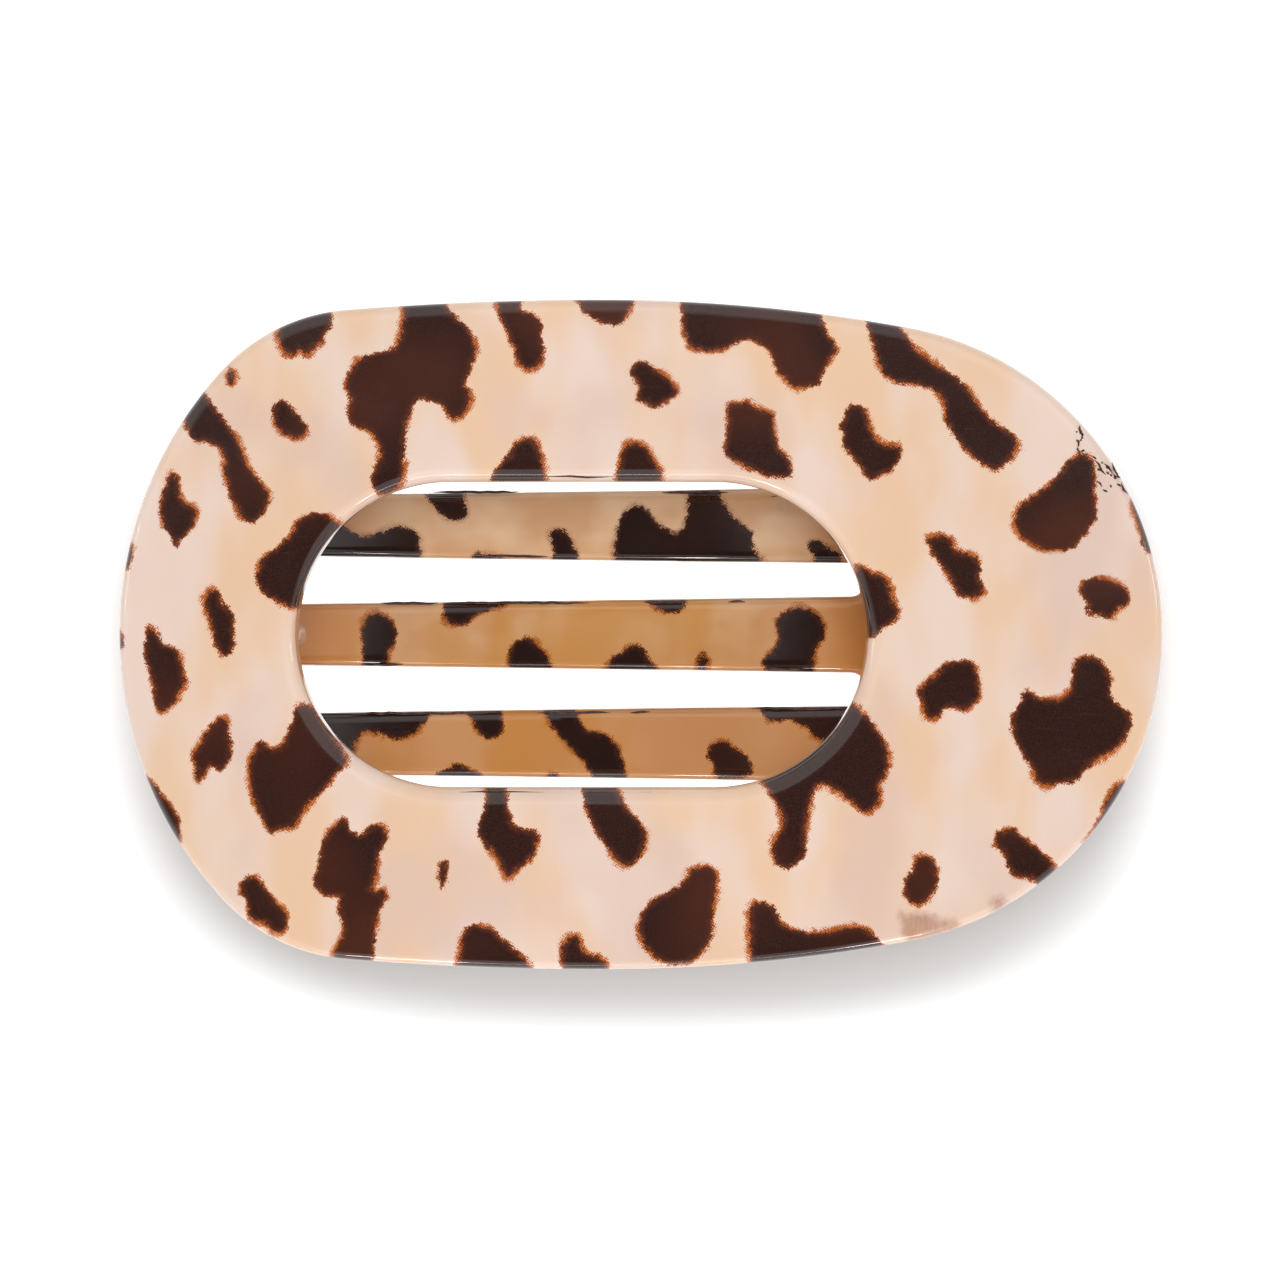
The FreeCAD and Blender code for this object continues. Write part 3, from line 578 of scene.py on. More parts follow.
     (-21.3, -17.2), (-22.0, -18.2), (-22.2, -19.4), (-22.3, -20.6), (-22.9, -21.5), (-21.9, -21.6),
     (-21.4, -21.4), (-21.3, -22.0), (-22.0, -23.0), (-22.3, -24.4), (-22.4, -26.0), (-22.5, -27.6),
     (-25.9, -27.6), (-25.4, -26.0), (-24.9, -25.2), (-24.9, -24.0), (-25.4, -23.0), (-25.1, -21.7),
     (-26.2, -21.9), (-27.0, -21.4), (-27.4, -20.8), (-27.0, -19.4), (-26.8, -18.0), (-26.4, -16.9),
     (-25.6, -16.2)],
    [(-16.8, -19.2), (-16.3, -19.0), (-16.2, -19.9), (-16.6, -21.3), (-16.9, -20.3)],
    [(-12.9, -12.0), (-11.4, -12.0), (-11.3, -13.6), (-11.1, -15.0), (-10.8, -16.0), (-9.6, -16.5),
     (-8.8, -16.3), (-8.6, -17.0), (-9.0, -18.4), (-9.8, -19.2), (-10.6, -19.8), (-11.0, -20.4),
     (-11.5, -19.9), (-11.9, -18.7), (-12.7, -17.9), (-13.4, -17.0), (-13.6, -16.0), (-13.2, -15.0),
     (-12.8, -14.0)],
    [(-4.9, -12.0), (-2.4, -12.0), (-2.0, -13.4), (-1.2, -14.6), (-0.3, -15.5), (0.4, -16.6),
     (0.2, -17.8), (-0.3, -18.8), (-1.2, -19.3), (-1.9, -18.9), (-2.6, -18.0), (-3.4, -17.0),
     (-4.0, -15.8), (-4.6, -14.6)],
    [(-14.9, -25.2), (-14.6, -24.6), (-13.7, -24.3), (-12.6, -24.7), (-11.6, -25.5), (-10.6, -26.4),
     (-9.8, -27.0), (-9.0, -28.6), (-15.5, -28.6), (-15.1, -27.0)],
    [(-6.5, -25.9), (-5.7, -25.1), (-5.2, -25.4), (-5.0, -26.4), (-4.4, -26.9), (-3.6, -26.9),
     (-3.0, -27.6), (-2.8, -28.6), (-6.2, -28.6), (-6.6, -27.0)],
    [(4.3, -19.6), (5.4, -19.4), (6.2, -19.8), (6.2, -20.8), (6.0, -22.2), (5.9, -24.0), (5.8, -25.4),
     (5.0, -26.6), (3.9, -27.4), (2.6, -27.5), (1.2, -27.0), (0.3, -26.0), (-0.2, -24.6), (0.1, -23.2),
     (1.0, -22.2), (2.4, -21.6), (3.6, -20.8)],
    [(17.6, -5.6), (18.4, -6.6), (19.4, -7.6), (20.3, -8.9), (20.7, -10.4), (20.5, -11.8), (19.7, -12.5),
     (20.0, -13.7), (19.4, -14.6), (18.6, -14.8), (17.8, -14.1), (16.6, -13.1), (15.4, -12.4),
     (14.6, -12.6), (14.1, -13.8), (13.7, -15.4), (13.6, -17.0), (13.7, -18.4), (12.9, -19.3),
     (12.0, -19.6), (11.2, -18.9), (10.9, -17.8), (11.4, -16.8), (12.0, -16.1), (11.8, -15.0),
     (11.3, -13.9), (10.6, -12.8), (9.8, -11.8), (13.0, -9.8), (15.8, -7.0)],
    [(9.1, -22.5), (10.2, -22.4), (11.0, -22.7), (11.3, -23.6), (12.0, -24.4), (12.8, -24.8),
     (14.4, -25.0), (16.0, -24.9), (17.0, -24.6), (18.0, -24.4), (19.0, -24.8), (19.8, -25.6),
     (20.4, -26.2), (20.8, -27.4), (15.0, -28.2), (9.2, -28.4), (9.2, -26.0)],
    [(25.6, -2.4), (26.6, -2.3), (27.6, -2.1), (28.0, -2.7), (28.3, -3.8), (28.2, -4.6), (28.4, -5.2),
     (27.8, -5.7), (27.2, -6.4), (26.4, -6.0), (25.4, -6.0), (25.0, -6.8), (24.2, -7.1), (23.7, -6.6),
     (23.8, -5.8), (23.2, -5.0), (23.6, -4.3), (24.6, -3.5)],
    [(36.6, -2.1), (37.4, -1.9), (38.4, -2.0), (39.2, -2.9), (39.5, -3.9), (39.3, -5.0), (40.0, -5.9),
     (41.0, -6.5), (41.2, -7.8), (40.6, -8.8), (39.4, -9.9), (38.2, -10.5), (37.2, -11.3), (36.8, -12.2),
     (35.4, -12.4), (34.4, -12.5), (33.8, -12.7), (33.1, -12.0), (32.8, -11.0), (32.0, -10.0),
     (31.4, -8.8), (31.1, -7.6), (31.4, -6.4), (32.0, -5.6), (32.0, -4.9), (32.6, -4.8), (33.2, -5.4),
     (34.4, -5.6), (35.6, -5.4), (36.2, -4.6), (36.3, -3.2)],
    [(40.0, -12.8), (41.8, -12.0), (40.8, -14.6), (38.6, -17.6), (37.4, -17.8), (38.2, -16.4),
     (38.9, -14.9), (39.3, -13.8)],
    [(30.4, -16.5), (31.2, -16.3), (31.8, -16.9), (32.6, -17.5), (33.6, -18.4), (34.6, -19.4),
     (35.0, -20.2), (34.0, -21.2), (33.4, -21.0), (33.0, -20.5), (32.2, -20.2), (31.4, -20.4),
     (30.9, -19.8), (30.7, -18.8), (30.6, -18.3), (29.7, -17.6), (29.7, -17.0)],
    [(23.2, -18.7), (24.0, -18.5), (24.6, -19.2), (24.7, -20.2), (24.8, -21.0), (24.2, -21.8),
     (23.6, -22.5), (22.9, -22.6), (22.2, -22.0), (22.0, -21.2), (22.2, -20.4), (22.9, -19.8),
     (22.9, -19.2)],
]
frameSmears = [
    [(21.4, -23.0), (22.6, -23.6), (24.0, -23.9), (26.0, -23.9), (26.8, -24.2), (26.0, -25.5),
     (22.4, -26.2)],
    [(21.6, -24.2), (22.6, -23.2), (25.0, -23.6), (25.6, -25.0), (26.6, -25.1), (24.0, -26.2),
     (22.4, -26.1)],
    [(29.3, -22.2), (30.4, -21.9), (30.8, -22.9), (30.0, -23.4), (29.5, -23.2)],
]
# Where the film cracked and gathered into dark slivers that stand on the surface, as routes
frameSlivers = [
    [(36.9, 17.3), (37.1, 16.8), (36.95, 16.2)],
    [(36.5, 15.6), (36.8, 15.4), (36.9, 15.1)],
    [(38.0, 14.8), (38.5, 14.3), (38.7, 13.8), (39.2, 13.3)],
    [(38.2, 13.0), (38.6, 12.7), (38.8, 12.3)],
    [(38.9, 14.4), (39.3, 14.1), (39.7, 13.5)],
    [(39.6, 14.5), (39.8, 13.9), (40.2, 13.2)],
    [(40.4, 12.8), (40.6, 12.2), (41.0, 11.8)],
    [(37.5, 14.5), (37.8, 13.9), (38.3, 14.0)],
    [(34.8, 17.2), (35.1, 16.5)],
    [(36.2, 12.2), (36.9, 11.4)],
    [(-8.2, 13.2), (-6.0, 13.25), (-4.5, 13.15), (-2.0, 13.2)],
    [(-16.0, 13.2), (-13.2, 13.15)],
    [(-15.2, -13.2), (-12.5, -13.15), (-8.0, -13.2)],
    [(-0.5, -13.2), (1.0, -13.2)],
    [(1.8, -13.25), (4.0, -13.15)],
    [(8.0, -13.15), (10.0, -13.1)],
]

# The tines' own film, with the tines closed
tineBlotches = [
    [(-29, 9.6), (-26, 9.4), (-24.6, 8.9), (-23.4, 8.1), (-22.2, 8.3), (-21, 8.9), (-19.6, 9.0),
     (-18.6, 8.4), (-18.7, 7.5), (-18.3, 6.0), (-29, 6.0)],
    [(-18.0, 12.8), (-17.9, 11.5), (-17.0, 10.5), (-16.2, 9.6), (-15.0, 9.6), (-14.5, 10.2),
     (-14.9, 11.1), (-14.9, 12.8)],
    [(-14.1, 6.9), (-13, 6.7), (-11.6, 6.3), (-10.2, 5.6), (-14.1, 5.6)],
    [(-7.8, 8.6), (-6.9, 8.9), (-6.2, 8.5), (-5.7, 7.4), (-5.1, 5.6), (-7.5, 5.6), (-7.2, 7.3)],
    [(-2.1, 5.2), (-2.2, 7.4), (-2.0, 8.6), (-1.8, 9.6), (-1.0, 10.6), (-0.2, 10.9), (0.4, 10.5),
     (1.0, 9.7), (1.8, 9.0), (2.6, 8.5), (3.4, 8.5), (3.8, 9.4), (4.0, 10.6), (4.1, 12.8), (6.3, 12.8),
     (6.7, 11.2), (7.2, 10.4), (8.0, 9.5), (8.6, 9.0), (9.2, 8.8), (9.3, 7.8), (9.4, 7.0), (10.0, 6.5),
     (10.2, 5.2)],
    [(13.8, 7.4), (14.6, 7.9), (15.0, 7.6), (15.8, 7.0), (16.4, 6.9), (16.8, 6.4), (16.4, 5.4),
     (14.6, 5.4), (14.5, 6.6)],
    [(-22.8, 1.7), (-21.8, 1.7), (-21.0, 1.2), (-20.5, 0.3), (-20.6, -0.7), (-21.3, -1.3), (-21.2, -3.6),
     (-23.1, -3.6), (-23.2, -1.2), (-23.3, 0.6)],
    [(-16.2, 3.6), (-10.5, 3.6), (-11.8, 2.4), (-13.4, 2.0), (-14.4, 1.2), (-15, 0.8), (-16.2, 1.0),
     (-16.6, 1.6)],
    [(-10.9, -1.2), (-10.4, -0.6), (-9.7, -0.2), (-9.0, -0.6), (-8.4, -1.3), (-7.8, -2.0), (-7.2, -3.8),
     (-10.4, -3.8), (-11.1, -2.3)],
    [(-2.8, -2.6), (-2.2, -1.9), (-1.3, -1.3), (-0.5, -0.9), (0.1, -1.1), (0.5, -2.0), (1.1, -2.7),
     (1.6, -3.8), (-2.8, -3.8)],
    [(0.5, 3.6), (3.7, 3.6), (3.6, 2.2), (2.8, 1.8), (1.8, 2.0), (1.0, 2.4)],
    [(5.3, -1.4), (5.6, -2.6), (5.2, -3.0), (4.7, -2.8), (4.9, -2.0)],
    [(11.2, 1.2), (12.0, 1.8), (13.0, 2.3), (14.0, 2.0), (14.8, 1.5), (15.3, 0.6), (15.2, -0.2),
     (14.5, -1.1), (14.2, -2.2), (14.6, -4.0), (11.6, -4.0), (10.4, -2.9), (10.2, -2.2), (10.9, -1.6),
     (11.4, -0.9), (11.6, 0.2)],
    [(-29, -5.6), (-17.6, -5.6), (-17.8, -7.0), (-18.5, -7.7), (-19.2, -8.3), (-20.0, -8.7),
     (-21.2, -8.5), (-22.4, -8.0), (-23.4, -8.1), (-24.0, -9.0), (-24.1, -10.4), (-25.5, -12.6),
     (-29, -12.6)],
    [(-14.9, -5.4), (-12.0, -5.4), (-11.7, -7.2), (-11.6, -8.2), (-12.4, -8.7), (-13.2, -8.6),
     (-13.8, -7.8), (-14.2, -6.9)],
    [(-17.2, -11.7), (-16.0, -11.2), (-15.5, -10.8), (-14.7, -11.2), (-13.4, -11.7), (-13.4, -12.9),
     (-17.2, -12.9)],
    [(-7.8, -11.9), (-7.4, -11.6), (-7.0, -12.0), (-7.2, -12.9), (-7.9, -12.9)],
    [(-8.2, -5.4), (-5.8, -5.4), (-5.4, -7.0), (-4.8, -8.0), (-3.4, -8.3), (-2.6, -8.7), (-1.9, -9.6),
     (-1.6, -10.6), (-1.2, -12.9), (-3.6, -12.9), (-4.0, -11.8), (-4.7, -10.8), (-5.6, -9.7),
     (-6.7, -8.6), (-7.7, -7.4)],
    [(6.2, -9.1), (7.0, -8.9), (7.6, -9.4), (8.4, -9.9), (9.1, -10.6), (9.3, -11.5), (8.8, -11.7),
     (8.0, -12.0), (6.8, -12.1), (6.2, -11.6), (6.3, -10.8), (5.7, -10.3), (5.5, -9.8)],
    [(9.8, -5.4), (17.5, -5.4), (17.0, -7.0), (16.2, -8.0), (15.4, -8.9), (14.6, -8.6), (14.0, -7.9),
     (13.2, -7.3), (12.2, -7.0), (11.2, -7.2), (10.4, -7.0)],
]
# Film gathered along the tines' edges: start x, end x and y
tineSlivers = [
    (-18.0, -10.5, 12.32), (1.8, 7.5, 12.28), (10.5, 14.5, 11.9), (-22.5, -17.5, 2.72), (-16.8, -4.5, 2.75),
    (0.2, 4.0, 2.8), (7.5, 9.0, 2.85), (-25.0, -12.0, -6.78), (-9.0, -2.6, -6.72), (-1.0, 0.8, -6.72),
    (9.5, 17.5, -6.35), (-13.8, -8.0, 6.75), (-23.0, -20.5, -2.6), (10.5, 14.0, -2.95),
]
tineSmears = [[(11.0, 11.6), (12.4, 11.2), (13.4, 10.0), (12.2, 9.8), (11.0, 10.6)]]
closedTineReach = 1.03         # the tines' film was drawn as it shows past the frame, which is nearer


def cutCorners(points, cut=0.22, rounds=2):
    loop = np.array(points, float)
    for _ in range(rounds):
        ahead = np.roll(loop, -1, 0)
        run = ahead - loop
        loop = np.stack([loop + cut * run, ahead - cut * run], 1).reshape(-1, 2)
    return loop


def gapToSegments(points, starts, ends):
    run = ends - starts
    offset = points[:, None] - starts[None]
    share = (offset * run[None]).sum(2) / np.maximum((run ** 2).sum(1), 1e-9)
    share = np.clip(share, 0, 1)
    return np.sqrt(((offset - share[..., None] * run[None]) ** 2).sum(2)).min(1)


filmReach = 3.0         # mm; film further than this from a blotch is plain
blotchGrowth = 0.06     # mm


# mm to the nearest blotch edge, below zero inside
def edgeDistances(points, outlines):
    best = np.full(len(points), filmReach)
    for outline in outlines:
        loop = cutCorners(outline)
        near = np.all((points > loop.min(0) - filmReach) & (points < loop.max(0) + filmReach), 1)
        if not near.any():
            continue
        close = points[near]
        ahead = np.roll(loop, -1, 0)
        gap = gapToSegments(close, loop, ahead)
        level = (loop[None, :, 1] > close[:, None, 1]) != (ahead[None, :, 1] > close[:, None, 1])
        rise = np.where(abs(ahead[:, 1] - loop[:, 1]) < 1e-9, 1e-9, ahead[:, 1] - loop[:, 1])
        crossing = loop[:, 0] + (close[:, None, 1] - loop[:, 1]) * (ahead[:, 0] - loop[:, 0]) / rise
        inside = (level & (close[:, None, 0] < crossing)).sum(1) % 2 == 1
        best[near] = np.minimum(best[near], np.where(inside, -gap, gap))
    return best


# the back carries the same film turned over
def filmFloats(points, isFront, outlines, smears):
    plan = np.where(isFront[:, None], points[:, :2], points[:, :2] * [1, -1])
    return {
        "edgeDistance": edgeDistances(plan, outlines) - blotchGrowth,
        "smearAndWallDistance": edgeDistances(plan, smears),
    }


# Hinge ears, round about the pin and spreading to their root

earSizes = {
    "radius": 2.9, "halfBase": 4.4, "edgeRound": 0.45, "around": 96,
    "jawInner": 6.27, "jawOuter": 8.87, "frameInner": 9.12, "frameOuter": 11.92,
    "frameHole": 1.0, "jawHole": 1.05, "rootDepth": 1.2,
}


def makeEar(rootZ, inner, outer, hole):
    s = earSizes
    disc, _ = arcPoints(0, 0, s["radius"], 0, 2 * math.pi, 361)
    cloud = [Vector(p) for p in disc[:-1]]
    cloud += [Vector((k * s["halfBase"], rootZ - hingeZ)) for k in (-1, 1)]
    order = convex_hull_2d(cloud)
    loop = np.array([cloud[i][:] for i in order])
    _, directions = arcPoints(0, 0, 1, 0, 2 * math.pi, s["around"] + 1)
    directions = directions[:-1]
    reach, _ = rayReach(np.zeros_like(directions), directions, loop)

    def ring(radius, y):
        flat = directions * np.asarray(radius).reshape(-1, 1)
        return np.stack([flat[:, 0] + hingeX, np.full(len(flat), y), flat[:, 1] + hingeZ], 1)
    rings = []
    edge = s["edgeRound"]
    for share in np.linspace(0, 1, 5)[:-1]:
        rings.append(ring(hole + (reach - edge - hole) * share, inner))
    for turn in np.linspace(0, math.pi / 2, 5):
        rings.append(ring(reach - edge * (1 - math.sin(turn)), inner + edge * (1 - math.cos(turn))))
    for turn in np.linspace(math.pi / 2, 0, 5):
        rings.append(ring(reach - edge * (1 - math.sin(turn)), outer - edge * (1 - math.cos(turn))))
    for share in np.linspace(1, 0, 5)[1:]:
        rings.append(ring(hole + (reach - edge - hole) * share, outer))
    return ringMesh(rings)


def earPair(rootZ, inner, outer, hole):
    vertices, faces = makeEar(rootZ, inner, outer, hole)
    return [(vertices, faces), (vertices * [1, -1, 1], faces)]


# Oval frame

def buildFrame():
    s = frameSizes
    window, windowNormal = windowOutline(s["around"])
    oval, ovalNormal = ovalOutline()
    reach, hit = rayReach(window, windowNormal, oval)
    rim = window + windowNormal * reach[:, None]
    rimNormal = ovalNormal[hit]
    rings, fronts, walls = [], [], []

    def addRing(plan, front, drop, wall):
        z = frontZ(plan[:, 0]) - drop if front else backZ(plan[:, 0]) + drop
        depth = drop if front else s["thickness"] - drop
        lean = 1 - max(0.0, depth - s["frontRound"]) / s["archRadius"]      # walls stand square to the arch
        rings.append(np.column_stack([plan[:, 0] * lean, plan[:, 1], z]))
        fronts.append(np.full(len(plan), front or drop > 0))      # the front's film wraps the edges too
        walls.append(np.full(len(plan), wall))
    parting = s["backRound"] + (s["thickness"] - s["frontRound"] - s["backRound"]) / 2
    quarter = np.linspace(0, math.pi / 2, s["rimSteps"] + 1)
    halves = ((True, s["frontRound"], s["frontRows"]), (False, s["backRound"], s["backRows"]))
    for front, bend, rows in halves:
        middleDrop = (s["thickness"] - parting if front else parting) - s["partingGap"]
        rimBend = s["rimRound"] if front else bend
        outer = [(rim, middleDrop)]
        outer += [(rim - rimNormal * rimBend * (1 - math.cos(a)), rimBend * (1 - math.sin(a)))
                  for a in quarter]
        inner = [(window, middleDrop)]
        inner += [(window + windowNormal * bend * (1 - math.cos(a)), bend * (1 - math.sin(a)))
                  for a in quarter]
        start, end = outer[-1][0], inner[-1][0]
        flat = [(start + (end - start) * share, 0.0) for share in np.linspace(0, 1, rows + 1)[1:-1]]
        side = [(plan, drop, False) for plan, drop in outer + flat + inner[:2:-1]]
        side += [(plan, drop, True) for plan, drop in inner[2::-1]]
        for plan, drop, wall in (side if front else side[::-1]):
            addRing(plan, front, drop, wall)
    parts = [ringMesh(rings)]
    rootZ = float(backZ(hingeX)) + earSizes["rootDepth"]
    parts += earPair(rootZ, earSizes["frameInner"], earSizes["frameOuter"], earSizes["frameHole"])
    vertices, faces = joinParts(parts)
    isFront = np.zeros(len(vertices), bool)
    isFront[:sum(map(len, fronts))] = np.concatenate(fronts)
    floats = filmFloats(vertices, isFront, frameBlotches, frameSmears)
    isWall = np.zeros(len(vertices), bool)
    isWall[:sum(map(len, walls))] = np.concatenate(walls)
    floats["smearAndWallDistance"][isWall] = s["wallTint"]      # the window's wall is drawn darker, in the smear's tan-brown
    piece = makePiece("frontFrame", vertices, faces, framePlastic, floats)
    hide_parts("front_frame")
    fitTo(piece, "frame")


buildFrame()
print("front frame made")


# Jaw: three tines, hinge plate and thumb tab, bent from one thickness

jawSizes = {
    "halfThickness": 1.4, "edgeRound": 0.75, "rimSteps": 5, "cell": 0.42,
    "bellyLeft": -13.1, "bellyRight": -2.1, "curlRadius": 34.16, "riseRadius": 38.75,
    "riseTurn": math.radians(20.63), "crestZ": 6.368, "tabRadius": 28.10,
    "tipX": -37.8, "slotEndX": 19.2, "tinePitch": 9.4, "rootWidth": 6.6, "tipWidth": 5.1,
    "slotCorner": 1.2, "plateHalf": 12.7, "plateEnd": 27.6, "neck": 6.0,
    "neckRadius": 7.0, "tabHalf": 9.8, "tabEnd": 41.7, "tabCorner": 5.5, "combHalf": 12.7,
    "tipFlat": 0.1, "arcStep": 0.16,
}


def jawZ(x, offset):
    s = jawSizes
    x = np.asarray(x, float)
    half = s["halfThickness"]
    curl, rise, tab = s["curlRadius"], s["riseRadius"], s["tabRadius"]

    def arc(radius, middle):
        return np.sqrt(np.maximum(radius ** 2 - (x - middle) ** 2, 0))
    curlZ = half + curl - arc(curl - offset, s["bellyLeft"])
    lowZ = half + rise - arc(rise - offset, s["bellyRight"])
    highZ = s["crestZ"] - rise + arc(rise + offset, hingeX)
    tabZ = s["crestZ"] - tab + arc(tab + offset, hingeX)
    turnX = s["bellyRight"] + (rise - offset) * math.sin(s["riseTurn"])
    z = np.where(x < s["bellyLeft"], curlZ, half + offset)
    z = np.where(x > s["bellyRight"], lowZ, z)
    z = np.where(x > turnX, highZ, z)
    return np.where(x > hingeX, tabZ, z)


# rounds each (x, y, radius) corner; gives points and outward normals
def roundedOutline(corners):
    places = np.array([c[:2] for c in corners], float)
    points, normals = [], []
    for i, (_, _, radius) in enumerate(corners):
        here = places[i]
        back = places[i - 1] - here
        ahead = places[(i + 1) % len(places)] - here
        back, ahead = back / np.hypot(*back), ahead / np.hypot(*ahead)
        turn = back[1] * ahead[0] - back[0] * ahead[1]
        halfCorner = math.acos(max(-1, min(1, float(back @ ahead)))) / 2
        if halfCorner > math.pi / 2 - 1e-4:
            continue
        middle = (back + ahead) / np.hypot(*(back + ahead))
        centre = here + middle * radius / math.sin(halfCorner)
        start = here + back * radius / math.tan(halfCorner) - centre
        end = here + ahead * radius / math.tan(halfCorner) - centre
        first = math.atan2(start[1], start[0])
        sweep = (math.atan2(end[1], end[0]) - first + math.pi) % (2 * math.pi) - math.pi
        count = max(5, int(abs(sweep) * radius / jawSizes["arcStep"]) + 1)
        arc, normal = arcPoints(centre[0], centre[1], radius, first, first + sweep, count)
        points.append(arc)
        normals.append(normal if turn > 0 else -normal)
    return np.concatenate(points), np.concatenate(normals)


def jawCorners():
    s = jawSizes
    corners = [
        (s["tabEnd"], -s["tabHalf"], s["tabCorner"]), (s["tabEnd"], s["tabHalf"], s["tabCorner"]),
        (s["plateEnd"] + s["neck"], s["tabHalf"], s["neckRadius"]),
        (s["plateEnd"], s["plateHalf"], s["neckRadius"]),
    ]
    tipCorner = s["tipWidth"] / 2 - s["tipFlat"] / 2
    for row in (1, 0, -1):
        middle = row * s["tinePitch"]
        if row < 1:
            corners.append((s["slotEndX"], middle + s["rootWidth"] / 2, s["slotCorner"]))
        corners.append((s["tipX"], middle + s["tipWidth"] / 2, tipCorner))
        corners.append((s["tipX"], middle - s["tipWidth"] / 2, tipCorner))
        if row > -1:
            corners.append((s["slotEndX"], middle - s["rootWidth"] / 2, s["slotCorner"]))
        if row == 1:
            corners.insert(4, (s["slotEndX"], s["combHalf"], s["slotCorner"]))
    corners.append((s["slotEndX"], -s["combHalf"], s["slotCorner"]))
    corners.append((s["plateEnd"], -s["plateHalf"], s["neckRadius"]))
    corners.append((s["plateEnd"] + s["neck"], -s["tabHalf"], s["neckRadius"]))
    return corners


def buildJawPlate():
    s = jawSizes
    plan, normal = roundedOutline(jawCorners())
    count = len(plan)
    straight = s["halfThickness"] - s["edgeRound"]
    vertices = []
    turns = np.linspace(-math.pi / 2, 0, s["rimSteps"] + 1)
    sections = [(t, -straight) for t in turns] + [(t, straight) for t in -turns[::-1]]
    for turn, level in sections:
        ring = plan - normal * s["edgeRound"] * (1 - math.cos(turn))
        height = np.full((count, 1), level + s["edgeRound"] * math.sin(turn))
        vertices.append(np.hstack([ring, height]))
    points, faces = ringMesh(vertices, loopSection=False)
    faces.append(tuple(range(count)))
    faces.append(tuple(range(len(points) - count, len(points))))
    mesh = bpy.data.meshes.new("jawBlank")
    mesh.from_pydata(points.tolist(), [], faces)
    work = bmesh.new()
    work.from_mesh(mesh)
    low, high = points.min(0), points.max(0)
    for axis in (0, 1):
        steps = int((high[axis] - low[axis]) / s["cell"])
        for k in range(1, steps):
            place = [0, 0, 0]
            place[axis] = low[axis] + (high[axis] - low[axis]) * k / steps
            across = [0, 0, 0]
            across[axis] = 1
            bmesh.ops.bisect_plane(
                work, geom=work.verts[:] + work.edges[:] + work.faces[:], dist=0.002,
                plane_co=place, plane_no=across)
    work.verts.ensure_lookup_table()
    flat = np.array([v.co[:] for v in work.verts])
    faces = [tuple(v.index for v in face.verts) for face in work.faces]
    work.free()
    bpy.data.meshes.remove(mesh)
    bent = flat.copy()
    # the rounded rims at both ends keep the height of where their rounding starts
    tabStart, tipStart = s["tabEnd"] - 1.6 * s["edgeRound"], s["tipX"] + 1.75 * s["edgeRound"]
    x = np.where(flat[:, 2] < 0, np.minimum(flat[:, 0], tabStart), np.maximum(flat[:, 0], tipStart))
    bent[:, 2] = jawZ(x, flat[:, 2])
    return bent, faces, flat[:, 2] > 0


def buildJaw():
    plate, faces, isTop = buildJawPlate()
    rootZ = jawSizes["crestZ"] + jawSizes["halfThickness"] - earSizes["rootDepth"]
    ears = earPair(rootZ, earSizes["jawInner"], earSizes["jawOuter"], earSizes["jawHole"])
    vertices, faces = joinParts([(plate, faces)] + ears)
    isFront = np.ones(len(vertices), bool)
    isFront[:len(isTop)] = isTop
    shown = [[(x * closedTineReach, y * closedTineReach) for x, y in outline] for outline in tineBlotches]
    hidden = [[(x, -y) for x, y in outline] for outline in frameBlotches
              if min(p[0] for p in outline) > 18 or max(p[0] for p in outline) < -30]
    smears = [[(x * closedTineReach, y * closedTineReach) for x, y in outline] for outline in tineSmears]
    floats = filmFloats(vertices, isFront, shown + hidden, smears)
    piece = makePiece("backJaw", vertices, faces, jawPlastic, floats)
    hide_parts("back_jaw")
    fitTo(piece, "jaw")


buildJaw()
print("back jaw made")


# Geometry Nodes: a row of rounded pegs along a path, and wire along a path

def newTree(name, inputs):
    tree = bpy.data.node_groups.new(name, "GeometryNodeTree")
    tree.interface.new_socket("Geometry", in_out="INPUT", socket_type="NodeSocketGeometry")
    for label, kind, value in inputs:
        socket = tree.interface.new_socket(label, in_out="INPUT", socket_type=kind)
        if value is not None:
            socket.default_value = value
    tree.interface.new_socket("Geometry", in_out="OUTPUT", socket_type="NodeSocketGeometry")
    return tree, tree.nodes.new("NodeGroupInput"), tree.nodes.new("NodeGroupOutput")


def finishTree(tree, geometry, given, out):
    real = addNode(tree, "GeometryNodeRealizeInstances", {"Geometry": geometry})
    painted = addNode(tree, "GeometryNodeSetMaterial", {
        "Geometry": real.outputs[0], "Material": given.outputs["Material"]})
    tree.links.new(painted.outputs[0], out.inputs[0])


# how far a rounded end draws in at a distance from that end
def roundingInset(tree, run, corner):
    left = maths(tree, "MAXIMUM", maths(tree, "SUBTRACT", corner, run), 0.0)
    square = maths(tree, "SUBTRACT", maths(tree, "POWER", corner, 2.0), maths(tree, "POWER", left, 2.0))
    return maths(tree, "SUBTRACT", corner, maths(tree, "SQRT", maths(tree, "MAXIMUM", square, 0.0)))


